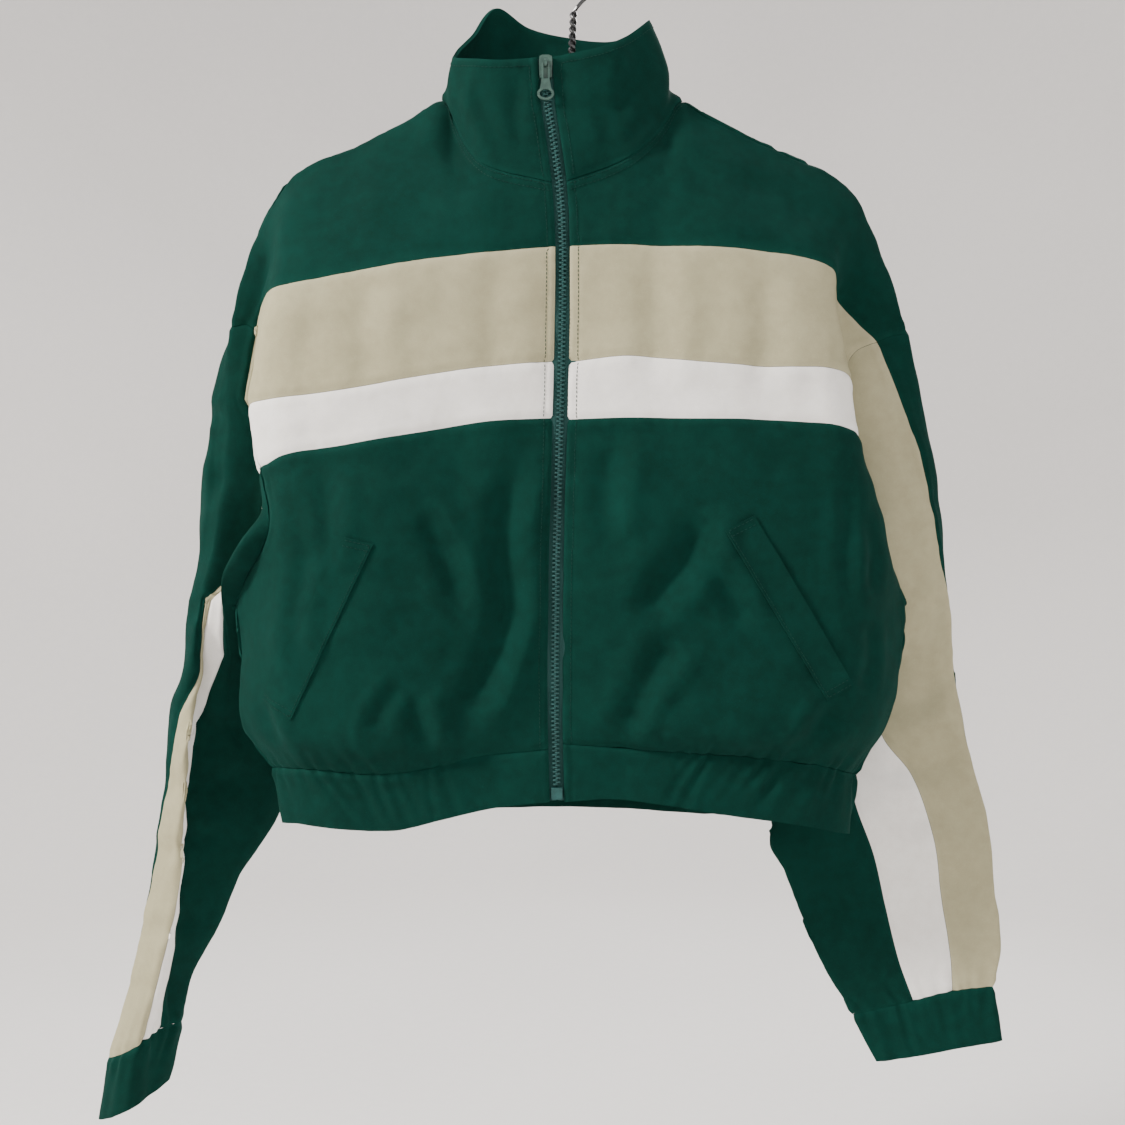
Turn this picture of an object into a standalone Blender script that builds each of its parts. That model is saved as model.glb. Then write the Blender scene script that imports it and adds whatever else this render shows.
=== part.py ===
"""Cropped zip-front sweatshirt with a stand collar, hanging on a wire hanger.

Metres, +Z up. +X is the viewer's right and the front faces -Y. The origin is the inside top of
the hanger's hook. "Right" and "left" are the wearer's, so the right half lies at -X.
Sizes and places in the tables are millimetres.
"""

import bpy
import bmesh
import math
import numpy as np

MM = 0.001

CLOTH = 1.8             # thickness of the sweatshirt fleece
DOUBLED = 2.8           # collar, hem band and cuffs are folded double
SEAM_GAP = 0.3          # space between two pieces at their seam
TWIST_PULL = 0.25       # added where the seam's wall twists, times the turn of its normal
CORNER_PULL = 1.8       # corners, where several pieces meet, stand this much further back
ZIP_HALF_GAP = 5.4      # from the zip's middle to the fronts' edges
TAPE = 0.8              # thickness of the zip tape
CHAIN_WIDTH = 5.6
CHAIN_THICK = 2.2
CHAIN_TOP = -108.0
CHAIN_FOOT = -639.3
WELT_LIFT = 1.6         # from the panel's face to the middle of the welt's wall
SLIDER_TOP = -91.0
SLIDER_FOOT = -107.4
SLIDER_HALF = 5.0       # half its greatest width
SLIDER_END = 4.6        # half its width at the top and at the foot
SLIDER_DEEP = 4.2
SLIDER_PLATE = 1.3      # thickness of its front plate
CHANNEL_HALF = 3.6
LOOP_HIGH = 3.4         # the loop that carries the pull tab, out from the slider's face
LOOP_HALF_WIDTH = 1.1
LOOP_HALF = 2.6         # half its height outside
LOOP_HOLE = 1.4         # half its height inside
LOOP_WALL = 1.0
PULL_AXIS_Z = -96.7     # hinge of the pull tab
PULL_THICK = 1.3
PULL_HALF = 3.3         # half its width at the top
PULL_NECK_Z = -108.5
PULL_NECK_HALF = 3.0
PULL_RING = (-119.8, 6.4, 4.9)    # ring's middle height and half its width and height
PULL_RIM = (1.9, 1.7)   # the ring's rim at the sides, at top and foot
PULL_WINDOW_HALF = 1.6
BOX_TOP = -639.8
BOX_FOOT = -648.6
BOX_HALF = 4.2
BOX_DEEP = 3.4
WIRE = 2.9              # diameter of the hanger's wire
WIRE_DROP = 5.0         # the wire's middle under the shoulder line
NECK_DROP = 8.0         # the same beside the neck
RIDGE_HALF = 3.2        # half the cloth's width where it lies over the wire
RIDGE_DROP = 4.0
HOOK_RADIUS = 18.0      # of the hook's centre line
TWIST_TOP = -40.0
TWIST_FOOT = -73.0
TWIST_TURNS = 3

GREEN = (0.006, 0.095, 0.060)
SAGE = (0.440, 0.410, 0.290)
WHITE = (0.760, 0.730, 0.690)
TEAL = (0.030, 0.130, 0.115)
PAINT = (0.075, 0.170, 0.140)
BLACK = (0.012, 0.011, 0.010)

# The zip's middle line from the collar's top edge down to the hem.
ZIP_LINE = (
    # z, x, y
    (-90.5, -23.3, -38),
    (-127.5, -21.0, -40),
    (-151.8, -17.0, -41),
    (-185.5, -12.6, -42),
    (-208.0, -10.9, -44),
    (-234.5, -10.0, -45),
    (-277.0, -10.1, -46),
    (-320.5, -10.9, -46),
    (-363.0, -12.0, -46),
    (-416.5, -13.5, -46),
    (-476.0, -15.0, -46),
    (-543.5, -15.7, -44),
    (-591.5, -15.7, -42),
    (-609.0, -15.2, -40),
    (-650.6, -14.2, -38),
)

# Rows of the fronts. Each is a line across the cloth from the zip to the armhole or side seam.
# cells: strips of mesh down to the next row. zip: the row's height at the zip.
# The places are: chest and neck (under the middle and the top of the neck seam), shoulder,
# fold (the outer edge of the flat front), tuck (behind that edge) and seam.
FRONT_CELLS = (3, 3, 3, 3, 2, 2)
RIGHT_FRONT = (
    # row, cells, zip, chest, neck, shoulder, fold, tuck, seam
    ("shoulder", 2, -186, (-66, -35, -172), (-104, 0, -110), (-163, 0, -143),
     (-221, 0, -169), (-250, 0, -219), (-267, 0, -283)),
    ("yoke", 1, -209, (-73, -44, -204), (-111, -26, -169), (-167, -27, -193),
     (-223, -23, -209), (-240, -8, -238), (-258, -2, -285)),
    ("green_sage", 2, -234.5, (-66, -48, -240), (-108, -50, -245), (-168, -48, -255),
     (-225, -38, -264), (-243, -7, -268), (-249, -2, -291)),
    ("sage", 2, -277, (-66, -50, -282), (-112, -52, -287), (-173, -50, -299),
     (-234, -38, -306), (-246, -10, -308), (-249, -3, -319)),
    ("sage_white", 2, -320.5, (-66, -50, -325), (-114, -52, -332), (-177, -50, -343),
     (-239, -37, -349), (-250, -24, -350), (-251, -12, -354)),
    ("white_green", 3, -363, (-66, -50, -366), (-116, -52, -374), (-175, -50, -384),
     (-224, -41, -392), (-233, -36, -396), (-242, -28, -398)),
    ("arm", 3, -416.5, (-66, -52, -421), (-115, -54, -428), (-169, -54, -435),
     (-207, -49, -440), (-221, -43, -441), (-232, -34, -442)),
    ("underarm", 2, -476, (-67, -52, -480), (-119, -55, -485), (-173, -56, -492),
     (-216, -45, -499), (-242, -24, -502), (-266, 0, -505)),
    ("waist", 2, -543.5, (-68, -50, -547), (-123, -55, -550), (-182, -54, -553),
     (-228, -40, -553), (-249, -20, -551), (-262, 0, -551)),
    ("blouse", 1, -591.5, (-64, -48, -594), (-115, -54, -598), (-173, -54, -600),
     (-220, -42, -600), (-244, -22, -599), (-260, 0, -600)),
    ("hem", 0, -611, (-67, -38, -616), (-108, -38, -625), (-161, -37, -630),
     (-205, -29, -627), (-225, -15, -629), (-237, 0, -631)),
)
LEFT_FRONT = (
    # row, cells, zip, chest, neck, shoulder, fold, tuck, seam
    ("shoulder", 2, -185, (39, -34, -165), (84, 0, -110), (147, 0, -143),
     (212, 0, -179), (238, 0, -238), (258, 0, -287)),
    ("yoke", 1, -209, (48, -44, -204), (91, -26, -169), (148, -27, -193),
     (199, -22, -216), (219, -8, -248), (247, -3, -294)),
    ("green_sage", 2, -234.5, (42, -48, -234), (88, -50, -236), (143, -48, -240),
     (192, -38, -249), (204, -7, -268), (235, -4, -299)),
    ("sage", 2, -277, (40, -50, -276), (84, -52, -278), (140, -50, -283),
     (196, -38, -290), (206, -9, -297), (220, -4, -305)),
    ("sage_white", 2, -321, (40, -50, -317), (84, -52, -321), (140, -50, -325),
     (202, -37, -328), (210, -12, -337), (203, -2, -353)),
    ("white_green", 3, -364, (40, -50, -363), (84, -52, -364), (142, -50, -365),
     (210, -37, -374), (215, -16, -384), (206, -2, -400)),
    ("arm", 3, -416.5, (41, -52, -417), (89, -54, -419), (147, -54, -425),
     (219, -40, -436), (236, -21, -443), (234, -3, -455)),
    ("underarm", 2, -476, (44, -52, -480), (95, -55, -485), (155, -56, -492),
     (218, -45, -499), (242, -22, -501), (257, 0, -503)),
    ("waist", 2, -543.5, (44, -50, -547), (97, -55, -549), (158, -54, -551),
     (216, -40, -550), (241, -20, -549), (256, 0, -548)),
    ("blouse", 1, -591.5, (42, -48, -594), (93, -54, -597), (152, -54, -600),
     (203, -42, -601), (228, -22, -601), (241, 0, -601)),
    ("hem", 0, -607, (37, -38, -610), (87, -38, -614), (146, -36, -619),
     (193, -28, -627), (211, -14, -633), (221, 0, -637)),
)

# Rows of the back. side and blade are depths of the cloth, centre the row's height in the middle.
BACK_CELLS = (4, 6, 4)
BACK_ROWS = (
    # row, cells, side, blade, centre, right seam, left seam
    ("shoulder", 2, 0, 0, -136, (-267, 0, -283), (258, 0, -287)),
    ("yoke", 2, 15, 22, -185, (-261, 12, -312), (253, 12, -316)),
    ("chest", 2, 25, 30, -260, (-255, 24, -355), (245, 24, -355)),
    ("blade", 2, 29, 33, -345, (-251, 28, -408), (239, 29, -411)),
    ("arm", 2, 28, 34, -425, (-254, 22, -460), (243, 25, -468)),
    ("underarm", 2, 24, 34, -495, None, None),
    ("waist", 2, 24, 35, -548, None, None),
    ("blouse", 1, 24, 34, -597, None, None),
    ("hem", 0, 20, 28, -618, None, None),
)
BACK_NECK = ((-104, 0, -110), (-86, 13, -123), (-50, 23, -133), (-10, 26, -136),
             (30, 23, -133), (66, 13, -123), (84, 0, -110))

# Collar, from the right zip edge round the back to the left zip edge. column: cells from there.
COLLAR_TOP = (
    # column, x, y, z
    (6, -67, -37, -93), (12, -93, -20, -83), (15, -82, 2, -57), (17, -63, 17, -30),
    (20, -37, 27, -42), (23, -5, 31, -48), (26, 28, 29, -52), (28, 52, 12, -50),
    (30, 58, -4, -48), (34, 38, -22, -69), (37, 18, -34, -82),
)
COLLAR_MIDDLE = (
    # column, x, y, z
    (6, -67, -39, -133), (12, -98, -14, -103), (15, -90, 5, -90), (17, -74, 20, -81),
    (20, -45, 28, -89), (23, -8, 32, -92), (26, 32, 29, -92), (28, 60, 16, -88),
    (30, 70, 0, -84), (34, 47, -22, -113), (37, 22, -36, -127),
)
COLLAR_ROWS = 3
COLLAR_SPLIT = 2        # collar columns to a column of the body

# Lower edge of the hem band, from the right zip edge round the back to the left zip edge.
HEM_FOOT = (
    # column, x, y, z
    (3, -61, -40, -655), (6, -98, -40, -663), (9, -135, -38, -672), (12, -182, -33, -672),
    (14, -212, -20, -671), (16, -229, 0, -674), (20, -200, 19, -673), (26, -110, 27, -670),
    (30, -9, 29, -667), (34, 92, 27, -671), (40, 184, 19, -679), (44, 212, 0, -682),
    (46, 198, -19, -677), (48, 168, -32, -669), (51, 117, -38, -661), (54, 70, -40, -653),
    (57, 27, -40, -648),
)
HEM_ROWS = 3
HEM_SPLIT = 3           # hem columns to a column of the body

# Sleeve rings. over and under are the ring's two outer edges. lobe and step are places on its
# front layer at a third and two thirds. bow: how far the back layer stands off in x and y.
# green, sage, white: where each band ends on the front layer, from 0 at over to 1 at under.
RIGHT_SLEEVE = (
    # cells, over, lobe, step, under, bow, green, sage, white
    (1, (-279, 5, -320), (-271, -13, -383), (-266, -18, -446), (-273, 6, -510), (-6, 24),
     .50, .66, .80),
    (1, (-289, 9, -366), (-281, -8, -422), (-277, -8, -478), (-277, 15, -533), (-7, 25),
     .55, .70, .83),
    (1, (-298, 14, -415), (-290, -4, -462), (-284, 2, -509), (-279, 27, -556), (-8, 26),
     .60, .74, .86),
    (1, (-303, 17, -460), (-294, 1, -503), (-284, 14, -546), (-272, 43, -588), (-6, 24),
     .56, .71, .83),
    (2, (-308, 20, -508), (-296, 5, -545), (-282, 26, -583), (-262, 58, -620), (-4, 22),
     .42, .60, .77),
    (2, (-321, 24, -585), (-294, -2, -600), (-298, 34, -624), (-240, 72, -652), (0, 24),
     .12, .40, .62),
    (2, (-331, 26, -645), (-303, -2, -648), (-309, 32, -662), (-253, 74, -688), (0, 24),
     .05, .34, .56),
    (1, (-337, 26, -705), (-307, -2, -703), (-313, 32, -713), (-274, 66, -722), (0, 22),
     .04, .34, .56),
    (1, (-344, 26, -753), (-312, 0, -747), (-319, 30, -758), (-292, 56, -766), (0, 20),
     .03, .36, .56),
    (1, (-354, 26, -796), (-321, 2, -791), (-327, 27, -801), (-314, 48, -809), (0, 16),
     .02, .40, .60),
    (0, (-372, 24, -866), (-342, 4, -849), (-333, 20, -843), (-319, 38, -843), (0, 12),
     .0, .55, .75),
)
LEFT_SLEEVE = (
    # cells, over, lobe, step, under, bow, green, sage, white
    (1, (284, 16, -400), (278, -4, -450), (266, -8, -496), (264, 6, -506), (8, 28),
     .26, .70, .82),
    (1, (294, 22, -452), (283, 9, -489), (267, 14, -527), (255, 31, -545), (6, 24),
     .14, .74, .86),
    (2, (299, 26, -493), (282, 25, -528), (259, 36, -563), (232, 54, -595), (4, 18),
     .03, .72, .85),
    (1, (308, 30, -558), (268, 38, -591), (222, 48, -630), (168, 59, -674), (2, 15),
     -.03, .42, .62),
    (1, (322, 32, -618), (281, 40, -640), (227, 48, -672), (161, 57, -702), (0, 13),
     -.04, .30, .58),
    (1, (336, 34, -679), (289, 40, -697), (238, 48, -710), (173, 56, -724), (0, 13),
     -.05, .28, .57),
    (1, (344, 34, -737), (302, 41, -746), (250, 47, -754), (186, 54, -760), (0, 12),
     -.05, .29, .57),
    (1, (349, 34, -780), (313, 39, -790), (257, 45, -799), (201, 52, -796), (0, 12),
     -.05, .30, .57),
    (0, (343, 34, -813), (308, 37, -818), (268, 40, -829), (227, 46, -840), (0, 12),
     -.05, .31, .58),
)
HEAD_CELLS = {"right": 1, "left": 2}    # strips of mesh from the armhole to the first ring
RIGHT_CUFF = ((-379, 22, -914), (-349, 2, -899), (-338, 18, -894), (-329, 34, -888), (0, 10))
LEFT_CUFF = ((344, 32, -856), (311, 32, -862), (275, 34, -870), (246, 40, -876), (0, 10))
CUFF_ROWS = 3
CUFF_SPLIT = 2          # cuff columns to a column of the sleeve

# Spacing of the creases round a gathered band, in its own columns, used over and over.
GATHERS = (5, 7, 4, 6, 8, 5, 4)

# Soft troughs in the fronts: from (x, z) to (x, z), half width and depth.
FOLDS = (
    # side, x1, z1, x2, z2, half width, depth
    ("right", -38, -402, -52, -500, 13, 4),
    ("right", -50, -500, -88, -590, 14, 6),
    ("right", -112, -430, -84, -500, 14, 4),
    ("right", -128, -575, -108, -615, 10, 4),
    ("left", 93, -432, 66, -485, 14, 6),
    ("left", 66, -485, 48, -520, 12, 5),
    ("left", 76, -525, 36, -600, 14, 6),
    ("left", 95, -460, 130, -520, 12, 4),
    ("left", 200, -575, 170, -612, 12, 4),
)

# Pocket welts: the stitched line near the zip and the open edge, each from top to bottom.
WELTS = {
    "right": ((-149, -457), (-212, -588), (-171, -452), (-238, -574)),
    "left": ((109, -447), (186, -573), (131, -436), (207, -562)),
}


def point(values):
    return np.array(values, dtype=float)


def smooth(knots, points, places):
    """Read a smooth curve through the points at the given places along the knots."""
    knots = np.asarray(knots, dtype=float)
    points = np.asarray(points, dtype=float)
    steps = np.diff(knots)
    slopes = np.diff(points, axis=0) / steps[:, None]
    tangents = np.empty_like(points)
    tangents[0] = slopes[0]
    tangents[-1] = slopes[-1]
    before = steps[:-1, None]
    after = steps[1:, None]
    tangents[1:-1] = (slopes[:-1] * after + slopes[1:] * before) / (before + after)
    found = []
    for place in places:
        i = int(np.clip(np.searchsorted(knots, place, side="right") - 1, 0, len(steps) - 1))
        h = steps[i]
        s = (place - knots[i]) / h
        found.append((1 + 2 * s) * (1 - s) ** 2 * points[i]
                     + s * (1 - s) ** 2 * h * tangents[i]
                     + s * s * (3 - 2 * s) * points[i + 1]
                     + s * s * (s - 1) * h * tangents[i + 1])
    return np.array(found)


def along(points):
    """Distance along a line to each of its points."""
    steps = np.linalg.norm(np.diff(points, axis=0), axis=1)
    return np.concatenate(([0.0], np.cumsum(steps)))


def through(points, cells):
    """Points on a smooth curve through the given ones, with so many cells between each two."""
    points = np.array([point(p) for p in points])
    knots = along(points)
    places = [knots[0]]
    for i, count in enumerate(cells):
        for step in range(1, count + 1):
            places.append(knots[i] + (knots[i + 1] - knots[i]) * step / count)
    return smooth(knots, points, places)


def zip_middle(z):
    heights = [-row[0] for row in ZIP_LINE]
    x = np.interp(-z, heights, [row[1] for row in ZIP_LINE])
    y = np.interp(-z, heights, [row[2] for row in ZIP_LINE])
    return point((x, y, z))


def zip_edge(side, z):
    sign = -1 if side == "right" else 1
    return zip_middle(z) + point((sign * ZIP_HALF_GAP, 0, 0))


def loft(rows, cells):
    """Join rows of points by smooth curves down every column."""
    rows = np.array(rows)
    columns = [through(rows[:, j], cells) for j in range(rows.shape[1])]
    return np.array(columns).transpose(1, 0, 2)


def fold_depth(side, spot):
    """How far the soft troughs push a spot of the front panel in."""
    depth = 0.0
    for fold_side, x1, z1, x2, z2, half_width, deep in FOLDS:
        if fold_side != side:
            continue
        start = np.array((x1, z1), dtype=float)
        run = np.array((x2, z2), dtype=float) - start
        here = np.array((spot[0], spot[2])) - start
        share = float(np.dot(here, run) / np.dot(run, run))
        off = np.linalg.norm(here - np.clip(share, 0, 1) * run)
        across = max(0.0, 1 - (off / (2 * half_width)) ** 2)
        depth += deep * across ** 2
    return depth


def over_wire(top, first, last, sign):
    """Row just under the top one: the columns on the shoulder round over the hanger's wire."""
    row = top + point((0, 0, -RIDGE_DROP))
    row[first:last + 1, 1] += sign * RIDGE_HALF
    return row


def front_grid(side, table):
    """Grid of one front from its rows: rows go down, columns from the zip to the seam."""
    rows = []
    for name, _, zip_z, chest, neck, shoulder, fold, tuck, seam in table:
        edge = zip_edge(side, zip_z)
        if name == "shoulder":
            neck_seam = through((edge, chest, neck), FRONT_CELLS[:2])
            ridge = through((neck, shoulder, fold, tuck, seam), FRONT_CELLS[2:])
            rows.append(np.concatenate((neck_seam, ridge[1:])))
        else:
            rows.append(through((edge, chest, neck, shoulder, fold, tuck, seam), FRONT_CELLS))
    rows.insert(1, over_wire(rows[0], sum(FRONT_CELLS[:2]), sum(FRONT_CELLS), -1))
    grid = loft(rows, [1] + [row[1] for row in table[:-1]])
    for row in grid:
        row[0] = zip_edge(side, row[0][2])
        for spot in row[1:]:
            spot[1] += fold_depth(side, spot)
    return grid


def row_index(table, name):
    """Grid row at which a named row of a table lies. One row is added under the first."""
    total = 0
    for row in table:
        if row[0] == name:
            return total
        total += row[1] + (1 if row[0] == "shoulder" else 0)
    raise ValueError(name)


def back_grid(right_front, left_front):
    """Grid of the back, columns from the right seam to the left one."""
    neck_column = sum(FRONT_CELLS[:2])
    underarm = row_index(RIGHT_FRONT, "underarm")
    back_underarm = row_index(BACK_ROWS, "underarm")
    neck = through(BACK_NECK, (1, 1, 2, 2, 1, 1))
    neck_first = sum(FRONT_CELLS[2:])
    top = np.concatenate((right_front[0][neck_column:][::-1], neck[1:-1],
                          left_front[0][neck_column:]))
    rows = [top]
    for name, _, side, blade, centre, right_seam, left_seam in BACK_ROWS[1:]:
        if right_seam is None:
            place = underarm + row_index(BACK_ROWS, name) - back_underarm
            right_seam = right_front[place][-1]
            left_seam = left_front[place][-1]
        right_seam = point(right_seam)
        left_seam = point(left_seam)
        middle = point((-9, blade + 1, centre))

        def between(seam, share, depth):
            spot = seam + (middle - seam) * share
            spot[1] = depth
            return spot

        stations = (right_seam, between(right_seam, 0.16, side), between(right_seam, 0.6, blade),
                    middle, between(left_seam, 0.6, blade), between(left_seam, 0.16, side),
                    left_seam)
        rows.append(through(stations, BACK_CELLS + BACK_CELLS[::-1]))
    hang = over_wire(top, 0, len(top) - 1, 1)
    hang[neck_first + 1:-neck_first - 1, 1] -= RIDGE_HALF
    rows.insert(1, hang)
    grid = loft(rows, [1] + [row[1] for row in BACK_ROWS[:-1]])
    for step in range(len(grid) - back_underarm):
        grid[back_underarm + step][0] = right_front[underarm + step][-1]
        grid[back_underarm + step][-1] = left_front[underarm + step][-1]
    return grid


def ring_curves(over, lobe, step, under, bow):
    """Dense front and back layers of a flattened sleeve ring, each from over to under."""
    over, lobe, step, under = (point(p) for p in (over, lobe, step, under))
    low = over + (under - over) * 0.68 + point((bow[0], bow[1], 0))
    high = over + (under - over) * 0.28 + point((bow[0] / 2, bow[1], 0))
    loop = np.array((high, over, lobe, step, under, low, high, over, lobe))
    knots = along(loop)
    front = smooth(knots, loop, np.linspace(knots[1], knots[4], 60))
    back = smooth(knots, loop, np.linspace(knots[4], knots[7], 60))[::-1]
    return front, back


def read_ring(front, back, place):
    """Point of a ring: 0 at over, 1 at under by the front, -1 at under by the back."""
    line = front if place >= 0 else back
    lengths = along(line)
    target = abs(place) * lengths[-1]
    return np.array([np.interp(target, lengths, line[:, k]) for k in range(3)])


def ring_places(cells, green, sage, white):
    """Places of a sleeve's columns on its rings, from the shoulder round by the front."""
    top, sage_cells, white_cells, under_cells, back_cells = cells
    round_top = np.linspace(-1, green, back_cells + top + 1)
    parts = (round_top[back_cells:-1],
             np.linspace(green, sage, sage_cells + 1)[:-1],
             np.linspace(sage, white, white_cells + 1)[:-1],
             np.linspace(white, 1, under_cells + 1)[:-1],
             round_top[:back_cells])
    return np.concatenate(parts)


def sleeve_grid(table, armhole, cells, head_cells):
    """Grid of a sleeve from the armhole down. Its columns close into a ring."""
    top = cells[0]
    rows = [armhole]
    for _, over, lobe, step, under, bow, green, sage, white in table:
        front, back = ring_curves(over, lobe, step, under, bow)
        places = ring_places(cells, green, sage, white)
        ring = [read_ring(front, back, place) for place in places]
        rows.append(np.array(ring))
    grid = loft(rows, [head_cells] + [row[0] for row in table[:-1]])
    return np.roll(grid, -top, axis=1)


def split_line(line, parts):
    """Cut each straight step of a line into equal parts."""
    cut = [line[0]]
    for a, b in zip(line[:-1], line[1:]):
        for k in range(1, parts + 1):
            cut.append(a + (b - a) * k / parts)
    return np.array(cut)


def band_line(first, table, last, last_column):
    """Smooth line through a table of columns, with one point for each column."""
    columns = [0] + [row[0] for row in table] + [last_column]
    stations = [first] + [row[1:] for row in table] + [last]
    return through(stations, np.diff(columns))


def crease_depths(columns, first, last, depth):
    """How far each column of a gathered band is pushed in: narrow troughs, unevenly spaced."""
    depths = np.zeros(columns)
    place = first
    turn = 0
    while place < last:
        depths[place] += depth * (1 + 0.25 * math.sin(2.3 * turn))
        depths[place - 1] += 0.35 * depth
        if place + 1 < columns:
            depths[place + 1] += 0.35 * depth
        place += GATHERS[turn % len(GATHERS)]
        turn += 1
    return depths


def directions(grid, axis, closed):
    """Unit direction of the grid's lines at each point, halfway between both sides of a bend."""
    if closed and axis == 1:
        ahead = np.roll(grid, -1, axis=1) - grid
        behind = np.roll(ahead, 1, axis=1)
    else:
        steps = np.diff(grid, axis=axis)
        first = np.take(steps, [0], axis=axis)
        last = np.take(steps, [-1], axis=axis)
        ahead = np.concatenate((steps, last), axis=axis)
        behind = np.concatenate((first, steps), axis=axis)
    both = ahead / np.linalg.norm(ahead, axis=2)[:, :, None]
    both = both + behind / np.linalg.norm(behind, axis=2)[:, :, None]
    return both / np.maximum(np.linalg.norm(both, axis=2), 1e-9)[:, :, None]


class Sheet:
    """A grid of points through the middle of the cloth, with the side that faces out."""

    def __init__(self, grid, closed, flip, thick):
        self.grid = grid
        self.closed = closed
        self.flip = flip
        self.thick = thick
        self.normals = self.face_out()

    def face_out(self):
        down = directions(self.grid, 0, self.closed)
        across = directions(self.grid, 1, self.closed)
        normals = np.cross(down, across)
        if self.flip:
            normals = -normals
        return normals / np.linalg.norm(normals, axis=2)[:, :, None]

    def push(self, depths_by_row):
        """Move the rows' points in along their normals."""
        self.grid = self.grid - self.normals * depths_by_row[:, :, None]


def share_seams(sheets):
    """Give points where sheets meet one common normal, so that their walls meet in a mitre."""
    meeting = {}
    for sheet in sheets:
        rows, columns = sheet.grid.shape[:2]
        for i in range(rows):
            for j in range(columns):
                key = tuple(np.round(sheet.grid[i, j], 2))
                meeting.setdefault(key, []).append((sheet, i, j))
    for places in meeting.values():
        if len(places) < 2:
            continue
        common = sum(sheet.normals[i, j] for sheet, i, j in places)
        common = common / np.linalg.norm(common)
        for sheet, i, j in places:
            sheet.normals[i, j] = common


def follow_chords(sheet, row, parts):
    """Between the points shared with a neighbour, let a split row follow that one's straight edges."""
    normals = sheet.normals[row]
    count = len(normals)
    for j in range(count):
        share = (j % parts) / parts
        if share:
            first = j - j % parts
            normals[j] = normals[first] + (normals[(first + parts) % count] - normals[first]) * share


def set_back(points, normals, closed):
    """Pull the border of a grid in by half a seam gap."""
    moved = points.copy()
    rows, columns = points.shape[:2]
    along_rows = directions(points, 0, closed)
    along_columns = directions(points, 1, closed)

    def twist(i, j, di, dj):
        """Greatest turn of the normal to the next points of the border."""
        turn = 0.0
        for step in (-1, 1):
            a, b = i + step * di, j + step * dj
            if closed:
                b = b % columns
            if 0 <= a < rows and 0 <= b < columns:
                turn = max(turn, float(np.linalg.norm(normals[a, b] - normals[i, j])))
        return turn

    def pull(i, j, inner, tangent, di, dj):
        inward = inner - points[i, j]
        inward = inward - np.dot(inward, tangent) * tangent
        inward = inward / np.linalg.norm(inward)
        mitre = np.cross(tangent, normals[i, j])
        facing = max(0.2, abs(float(np.dot(inward, mitre))))
        corner = i in (0, rows - 1) and j in (0, columns - 1) and not closed
        back = SEAM_GAP / 2 * (CORNER_PULL if corner else 1) + TWIST_PULL * twist(i, j, di, dj)
        moved[i, j] += inward * back / facing

    for j in range(columns):
        pull(0, j, points[1, j], along_columns[0, j], 0, 1)
        pull(rows - 1, j, points[rows - 2, j], along_columns[rows - 1, j], 0, 1)
    if not closed:
        for i in range(rows):
            pull(i, 0, points[i, 1], along_rows[i, 0], 1, 0)
            pull(i, columns - 1, points[i, columns - 2], along_rows[i, columns - 1], 1, 0)
    return moved


def material(name, colour, roughness, metallic=0.0):
    made = bpy.data.materials.get(name)
    if made is None:
        made = bpy.data.materials.new(name)
        made.use_nodes = True
        shader = made.node_tree.nodes["Principled BSDF"]
        shader.inputs["Base Color"].default_value = (*colour, 1.0)
        shader.inputs["Roughness"].default_value = roughness
        shader.inputs["Metallic"].default_value = metallic
    return made


def add_object(name, mesh, finish):
    mesh.materials.append(finish)
    made = bpy.data.objects.new(name, mesh)
    bpy.context.scene.collection.objects.link(made)
    return made


def add_wall(name, points, normals, thick, closed, finish, flip):
    """Closed wall of even thickness round a grid of points."""
    points = set_back(points, normals, closed)
    rows, columns = points.shape[:2]
    outer = (points + normals * thick / 2) * MM
    inner = (points - normals * thick / 2) * MM
    build = bmesh.new()
    outside = [[build.verts.new(spot) for spot in row] for row in outer]
    inside = [[build.verts.new(spot) for spot in row] for row in inner]
    steps = columns if closed else columns - 1

    def face(*corners):
        build.faces.new(corners if flip else corners[::-1])

    def rim(first, second, second_in, first_in):
        """Two triangles, cut the same way on both sides of a seam."""
        if sum(first.co * 3 + second_in.co) < sum(second.co * 3 + first_in.co):
            face(first, second, second_in)
            face(first, second_in, first_in)
        else:
            face(first, second, first_in)
            face(second, second_in, first_in)

    for i in range(rows - 1):
        for j in range(steps):
            k = (j + 1) % columns
            face(outside[i][j], outside[i][k], outside[i + 1][k], outside[i + 1][j])
            face(inside[i][j], inside[i + 1][j], inside[i + 1][k], inside[i][k])
    for j in range(steps):
        k = (j + 1) % columns
        rim(outside[0][k], outside[0][j], inside[0][j], inside[0][k])
        rim(outside[-1][j], outside[-1][k], inside[-1][k], inside[-1][j])
    if not closed:
        for i in range(rows - 1):
            rim(outside[i][0], outside[i + 1][0], inside[i + 1][0], inside[i][0])
            rim(outside[i + 1][-1], outside[i][-1], inside[i][-1], inside[i + 1][-1])
    mesh = bpy.data.meshes.new(name)
    build.to_mesh(mesh)
    build.free()
    mesh.shade_smooth()
    mesh.set_sharp_from_angle(angle=math.radians(60))
    return add_object(name, mesh, finish)


def cut_piece(name, sheet, rows, columns, finish):
    """One sewn piece of a sheet: rows and columns are its first and last grid lines."""
    picked_rows = range(rows[0], rows[1] + 1)
    width = sheet.grid.shape[1]
    picked_columns = [c % width for c in range(columns[0], columns[1] + 1)]
    window = np.ix_(picked_rows, picked_columns)
    return add_wall(name, sheet.grid[window], sheet.normals[window], sheet.thick, False,
                    finish, sheet.flip)


def clear_scene():
    for item in list(bpy.data.objects):
        bpy.data.objects.remove(item, do_unlink=True)


def cloth(kind):
    colours = {"green": GREEN, "sage": SAGE, "white": WHITE}
    return material(kind + "_fleece", colours[kind], 0.92)


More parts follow.
